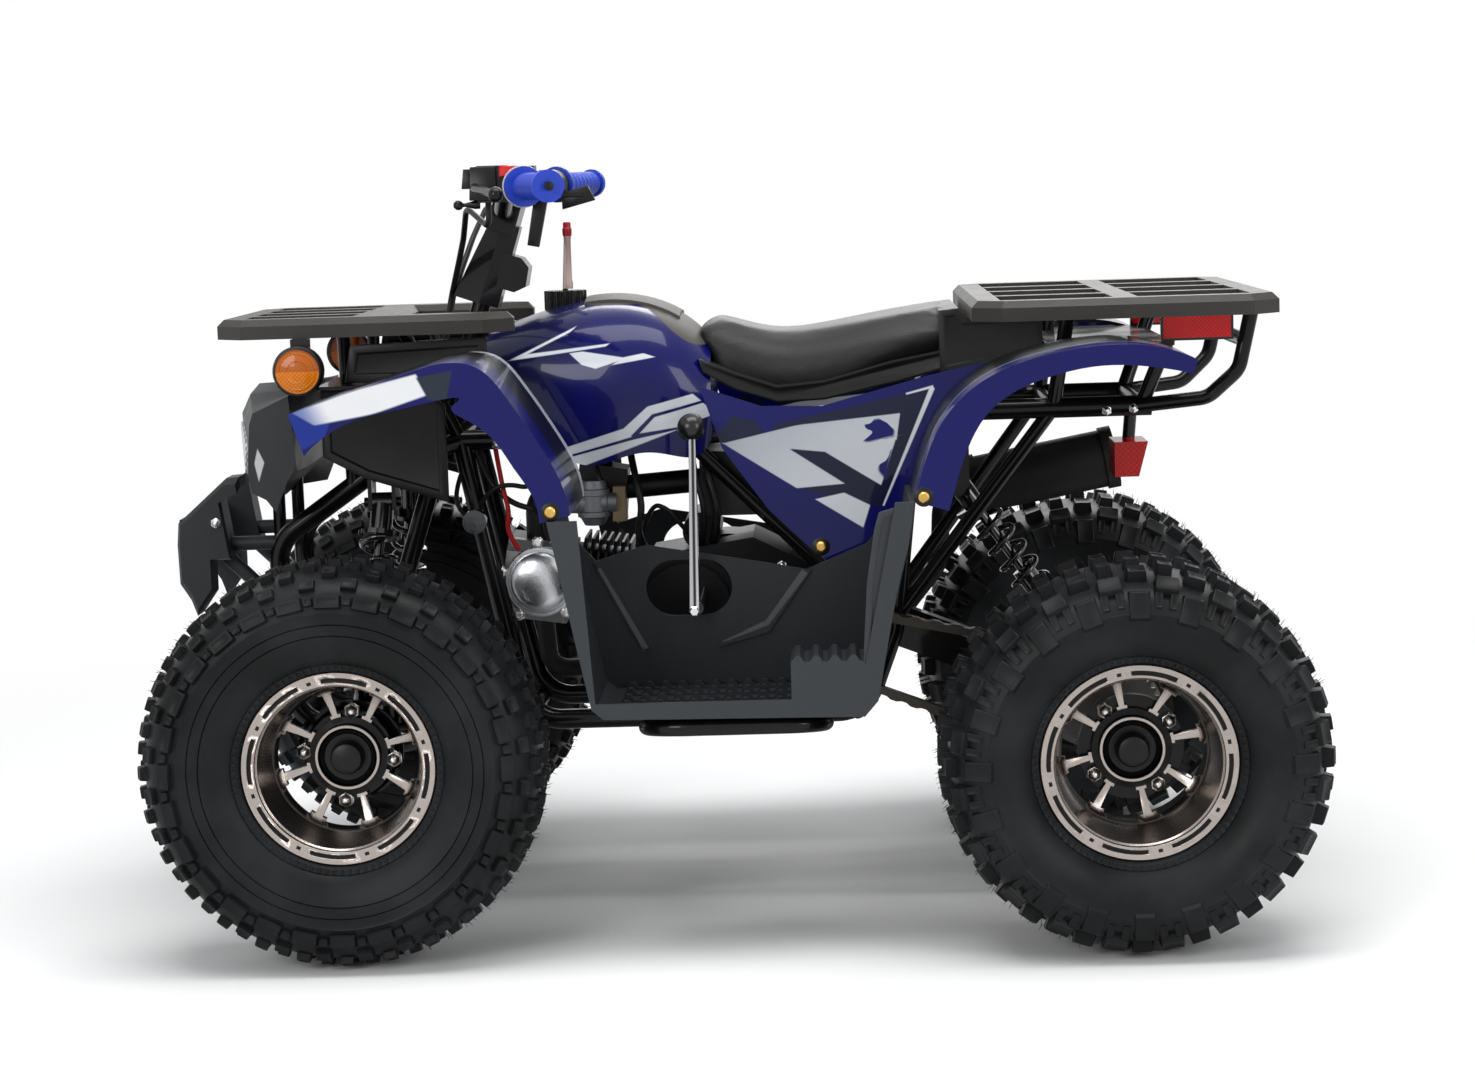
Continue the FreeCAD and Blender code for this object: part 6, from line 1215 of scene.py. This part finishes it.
for side, name in SIDES:
    plug = lathe([(0, 2), (5.5, 2), (5.5, -1), (4, -1.6), (0, -1.6)])
    settle(plug, f"grip_plug_{name}", cap_black, "steering", (-0.1893, side * 0.3585, 0.903),
           (0, 0, BAR_SWEEP if side < 0 else math.pi - BAR_SWEEP))
print("handlebar fittings made")

# %% [markdown]
# ## Hoses and wires
# Fuel, breather and ignition lines run between fixed ends in the engine bay. A line is a NURBS
# path through a few points with a round bevel, turned into a mesh, so it bends smoothly.

# %% Run the lines
def line_between(name, points, radius, finish):
    """A round line through points, all in millimetres."""
    item = added(bpy.ops.curve.primitive_nurbs_path_add)
    curve = item.data
    curve.splines.clear()
    spline = curve.splines.new("NURBS")
    spline.points.add(len(points) - 1)
    for knot, place in zip(spline.points, mm(points)):
        knot.co = (*place, 1)
    spline.order_u, spline.use_endpoint_u = 3, True
    curve.resolution_u, curve.bevel_resolution, curve.use_fill_caps = 8, 3, True
    curve.bevel_depth = radius * MM
    only(item)
    bpy.ops.object.convert(target="MESH")
    settle(smooth(bpy.context.active_object), name, finish)


wire_red = plastic("wire_red", (0.3, 0.006, 0.008), (0.42, 0.012, 0.012), 0.34)
hose_black = plastic("hose_black", (0.004, 0.004, 0.0045), (0.009, 0.009, 0.0095), 0.3)
LINES = [
    ("ignition_wire", 3.2, [(-298, -70, 606), (-286, -98, 536), (-276, -104, 500), (-282, -100, 476),
                            (-268, -90, 452)]),
    ("breather_hose", 4.2, [(-266, -56, 600), (-240, -90, 560), (-222, -100, 530), (-236, -98, 490),
                            (-230, -80, 462)]),
    ("fuel_hose", 3.6, [(-178, -56, 590), (-166, -88, 548), (-160, -92, 522), (-172, -84, 500),
                        (-180, -58, 490)]),
    ("plug_lead", 3.6, [(-215, -50, 470), (-240, -85, 500), (-275, -95, 510), (-305, -85, 540),
                        (-318, -78, 575)]),
    ("carb_hose", 4.6, [(-130, -60, 592), (-118, -98, 536), (-110, -104, 500), (-120, -98, 470),
                        (-112, -70, 450)]),
    ("looped_cable", 3, [(-118, -60, 455), (-102, -94, 505), (-80, -100, 500), (-64, -96, 478), (-50, -70, 458)]),
    ("vacuum_hose", 5.2, [(-42, -46, 592), (-30, -84, 540), (-20, -90, 510), (-18, -86, 480), (-26, -60, 452)]),
    ("second_vacuum_hose", 3.8, [(-54, -46, 592), (-44, -88, 536), (-36, -94, 508), (-34, -88, 478),
                                 (-40, -60, 450)]),
    ("horn_wire", 3, [(-318, -90, 505), (-300, -104, 530), (-275, -104, 536), (-250, -94, 528),
                      (-225, -60, 540)]),
    ("wiring_loom", 3, [(-330, -82, 565), (-345, -100, 530), (-338, -104, 500), (-322, -94, 490)])]
for name, radius, points in LINES:
    line_between(name, points, radius, wire_red if name == "ignition_wire" else hose_black)
print("lines", len(LINES))

# %% [markdown]
# ## Dark inner panels and the seat's tail
# Behind the wings, black liners close the view into the frame. They are dark sheets that stand for
# the dark parts there and for the deep shade inside the wings, as painted shade. The seat runs on
# as a low black tail under the rear rack. A liner is an outline in side view, filled, given
# thickness by an extrusion, then inset for its raised rib.

# %% Close the view behind the wings
def plate(outline, y, thick, rib=10, lift=2):
    """A moulded panel from (x, z) corners, with a rib raised inside its edge, all in millimetres."""
    item = added(bpy.ops.mesh.primitive_circle_add, vertices=len(outline), radius=1, fill_type="NGON")
    for corner, (x, z) in zip(item.data.vertices, mm(outline)):
        corner.co = (x, y * MM, z)
    pick_all(item)
    bpy.ops.mesh.extrude_region_move(TRANSFORM_OT_translate={"value": (0, thick * MM, 0)})
    face_outwards()
    pick(item, lambda centre, normal: abs(normal.y) > 0.9)
    bpy.ops.mesh.inset(thickness=rib * MM, depth=0, use_individual=True)
    bpy.ops.mesh.inset(thickness=0.0015, depth=-lift * MM, use_individual=True)
    leave()
    return smooth(rounded(item, 0.0012, 2), 0.6)


WING_SHADE_LINER = [(-498, 662.5), (-372, 662.5), (-345, 640), (-345, 520), (-446, 552), (-498, 580)]
CONSOLE_SHADE_WALL = [(-468, 670), (-460, 716), (-292, 722), (-292, 684), (-372, 670)]
TAIL = [(262, 658), (262, 736), (286, 738.5), (295, 727), (388, 727), (388, 690), (347, 672)]
PAN = [(-34, 686), (-30, 669), (10, 646), (62, 629), (120, 631), (211, 650), (289, 669), (289, 692), (200, 676),
       (120, 655), (62, 650), (10, 668)]
# These black sheets stand for the dark parts and the deep shade behind the wings: partly painted shade.
for side, name in SIDES:
    settle(plate(WING_SHADE_LINER, side * 150, side * 5), f"wing_shade_liner_{name}", hose_black)
    settle(plate(CONSOLE_SHADE_WALL, side * 142, side * 5), f"console_shade_wall_{name}", hose_black)
settle(plate(TAIL, -131, 262, 8, 1.5), "seat_tail", vinyl)
settle(plate(PAN, -129, 258, 3.5, 0.8), "seat_pan", cap_black)
print("inner panels made")

# %% [markdown]
# ## Filler breather
# A clear tube stands in the filler cap and has a red plug at its end. Both are outlines that
# are spun about the upright axis of the tube, which is read from the CAD cap itself.

# %% Spin the breather
stem = [vertex.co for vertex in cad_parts["fuel_cap"].data.vertices if vertex.co.z > 0.8]
foot = sum(stem, Vector()) / len(stem)
clear_tube = plastic("clear_tube", (0.3, 0.2, 0.18), (0.46, 0.36, 0.33), 0.12, 90.0)
tip_red = plastic("tip_red", (0.2, 0.003, 0.008), (0.34, 0.005, 0.012), 0.2)
UPRIGHTS = [
    ("breather_tube", clear_tube,
     [(0, -772), (5.2, -772), (5.4, -780), (4.3, -783), (4.3, -834), (4.9, -835), (4.9, -838.5),
      (0, -838.5)]),
    ("breather_plug", tip_red,
     [(0, -838.6), (5.6, -838.6), (6, -842), (6, -848), (5, -849), (5, -854.5), (4, -856), (0, -856.2)])]
for name, finish, outline in UPRIGHTS:
    settle(lathe(outline, 24, 0.6), name, finish, at=(foot.x, foot.y, 0), turned_by=(-math.pi / 2, 0, 0))
print("breather at", tuple(round(value, 4) for value in foot))

# %% [markdown]
# ## Footwell posts, lever shank and carburettor
# The footwell's rear post is broad and faceted where it meets the wing, the gear lever is a flat
# bar that widens downwards, and a grey carburettor with its tan spacer sits behind the frame.
# They are outlines or boxes given facets, and each is fitted over the solid that carries it.

# %% Fit the posts and the lever shank
POST = [(172, 500), (178, 520), (214, 530), (212, 484), (196, 420), (178, 345), (163, 292), (156, 292),
        (156, 352), (162, 438)]
for side, name in SIDES:
    settle(plate(POST, side * 398.5, side * 4.5, 7, 1.2), f"footwell_post_{name}", tub_plastic)

SHANK_X, SHANK_Y, SHANK_Z = -0.04, -0.24, 0.492
shank = block((SHANK_X, SHANK_Y, SHANK_Z), (0.008, 0.0075, 0.21))
pick(shank, lambda centre, normal: normal.z < -0.9)
bpy.ops.transform.resize(value=(1.45, 1.0, 1), center_override=(SHANK_X, SHANK_Y, SHANK_Z - 0.105))
bpy.ops.transform.translate(value=(-0.004, 0, 0))
leave()
pick(shank, lambda centre, normal: normal.y < -0.9)
bpy.ops.mesh.inset(thickness=0.0016, depth=-0.0007)
leave()
shank_chrome = Finish("shank_chrome", Metallic=1.0)
# A dark line painted down the middle of the chrome face: painted shade of a groove that the mesh does not cut.
centre_line = abs(shank_chrome.across + 0.0415 - (shank_chrome.height - SHANK_Z) * 0.018)
painted_groove_shade = 1.0 - centre_line.fade(0.0008, 0.0026)
shank_chrome.tone(painted_groove_shade, (0.46, 0.46, 0.48), (0.035, 0.036, 0.04))
shank_chrome.feed("Roughness", shank_chrome.noise(60.0, 3.0) * 0.1 + 0.16)
settle(smooth(rounded(shank, 0.001, 2), 0.6), "lever_shank", shank_chrome)
clevis = lathe([(0, 4), (6.8, 4), (6.8, -4), (5, -5.6), (0, -5.6)], 6, 0.4)
settle(clevis, "lever_clevis", plated, at=(-0.044, SHANK_Y, 0.389))
print("posts and shank fitted")

# %% Fit the carburettor
carb_grey = bare_metal("carburettor_alloy", (0.1, 0.105, 0.115), (0.18, 0.185, 0.195), 0.4, 300.0, 0.7)
tan_plastic = plastic("tan_spacer", (0.16, 0.12, 0.065), (0.24, 0.185, 0.105), 0.44)
CARB_X, CARB_Y = -0.172, -0.088
bowl = lathe([(0, 30), (16, 30), (17.5, 20), (20, 19), (20, 12), (18, 11), (18, -8), (20.5, -9),
              (20.5, -15), (17, -17), (12, -26), (0, -27)], 28, 0.5)
settle(bowl, "carburettor_body", carb_grey, at=(CARB_X, CARB_Y, 0.506), turned_by=(math.pi / 2, 0, 0))
throat = lathe([(0, 30), (13, 30), (13, 18), (15, 17), (15, -17), (12.5, -18), (12.5, -29), (0, -29)], 28, 0.5)
settle(throat, "carburettor_throat", carb_grey, at=(CARB_X, CARB_Y, 0.508), turned_by=(0, 0, math.pi / 2))
spacer = tapered_block((-0.14, -0.078, 0.506), (0.018, 0.03, 0.044), (0.85, 0.85))
settle(spacer, "inlet_spacer", tan_plastic)
print("carburettor fitted")
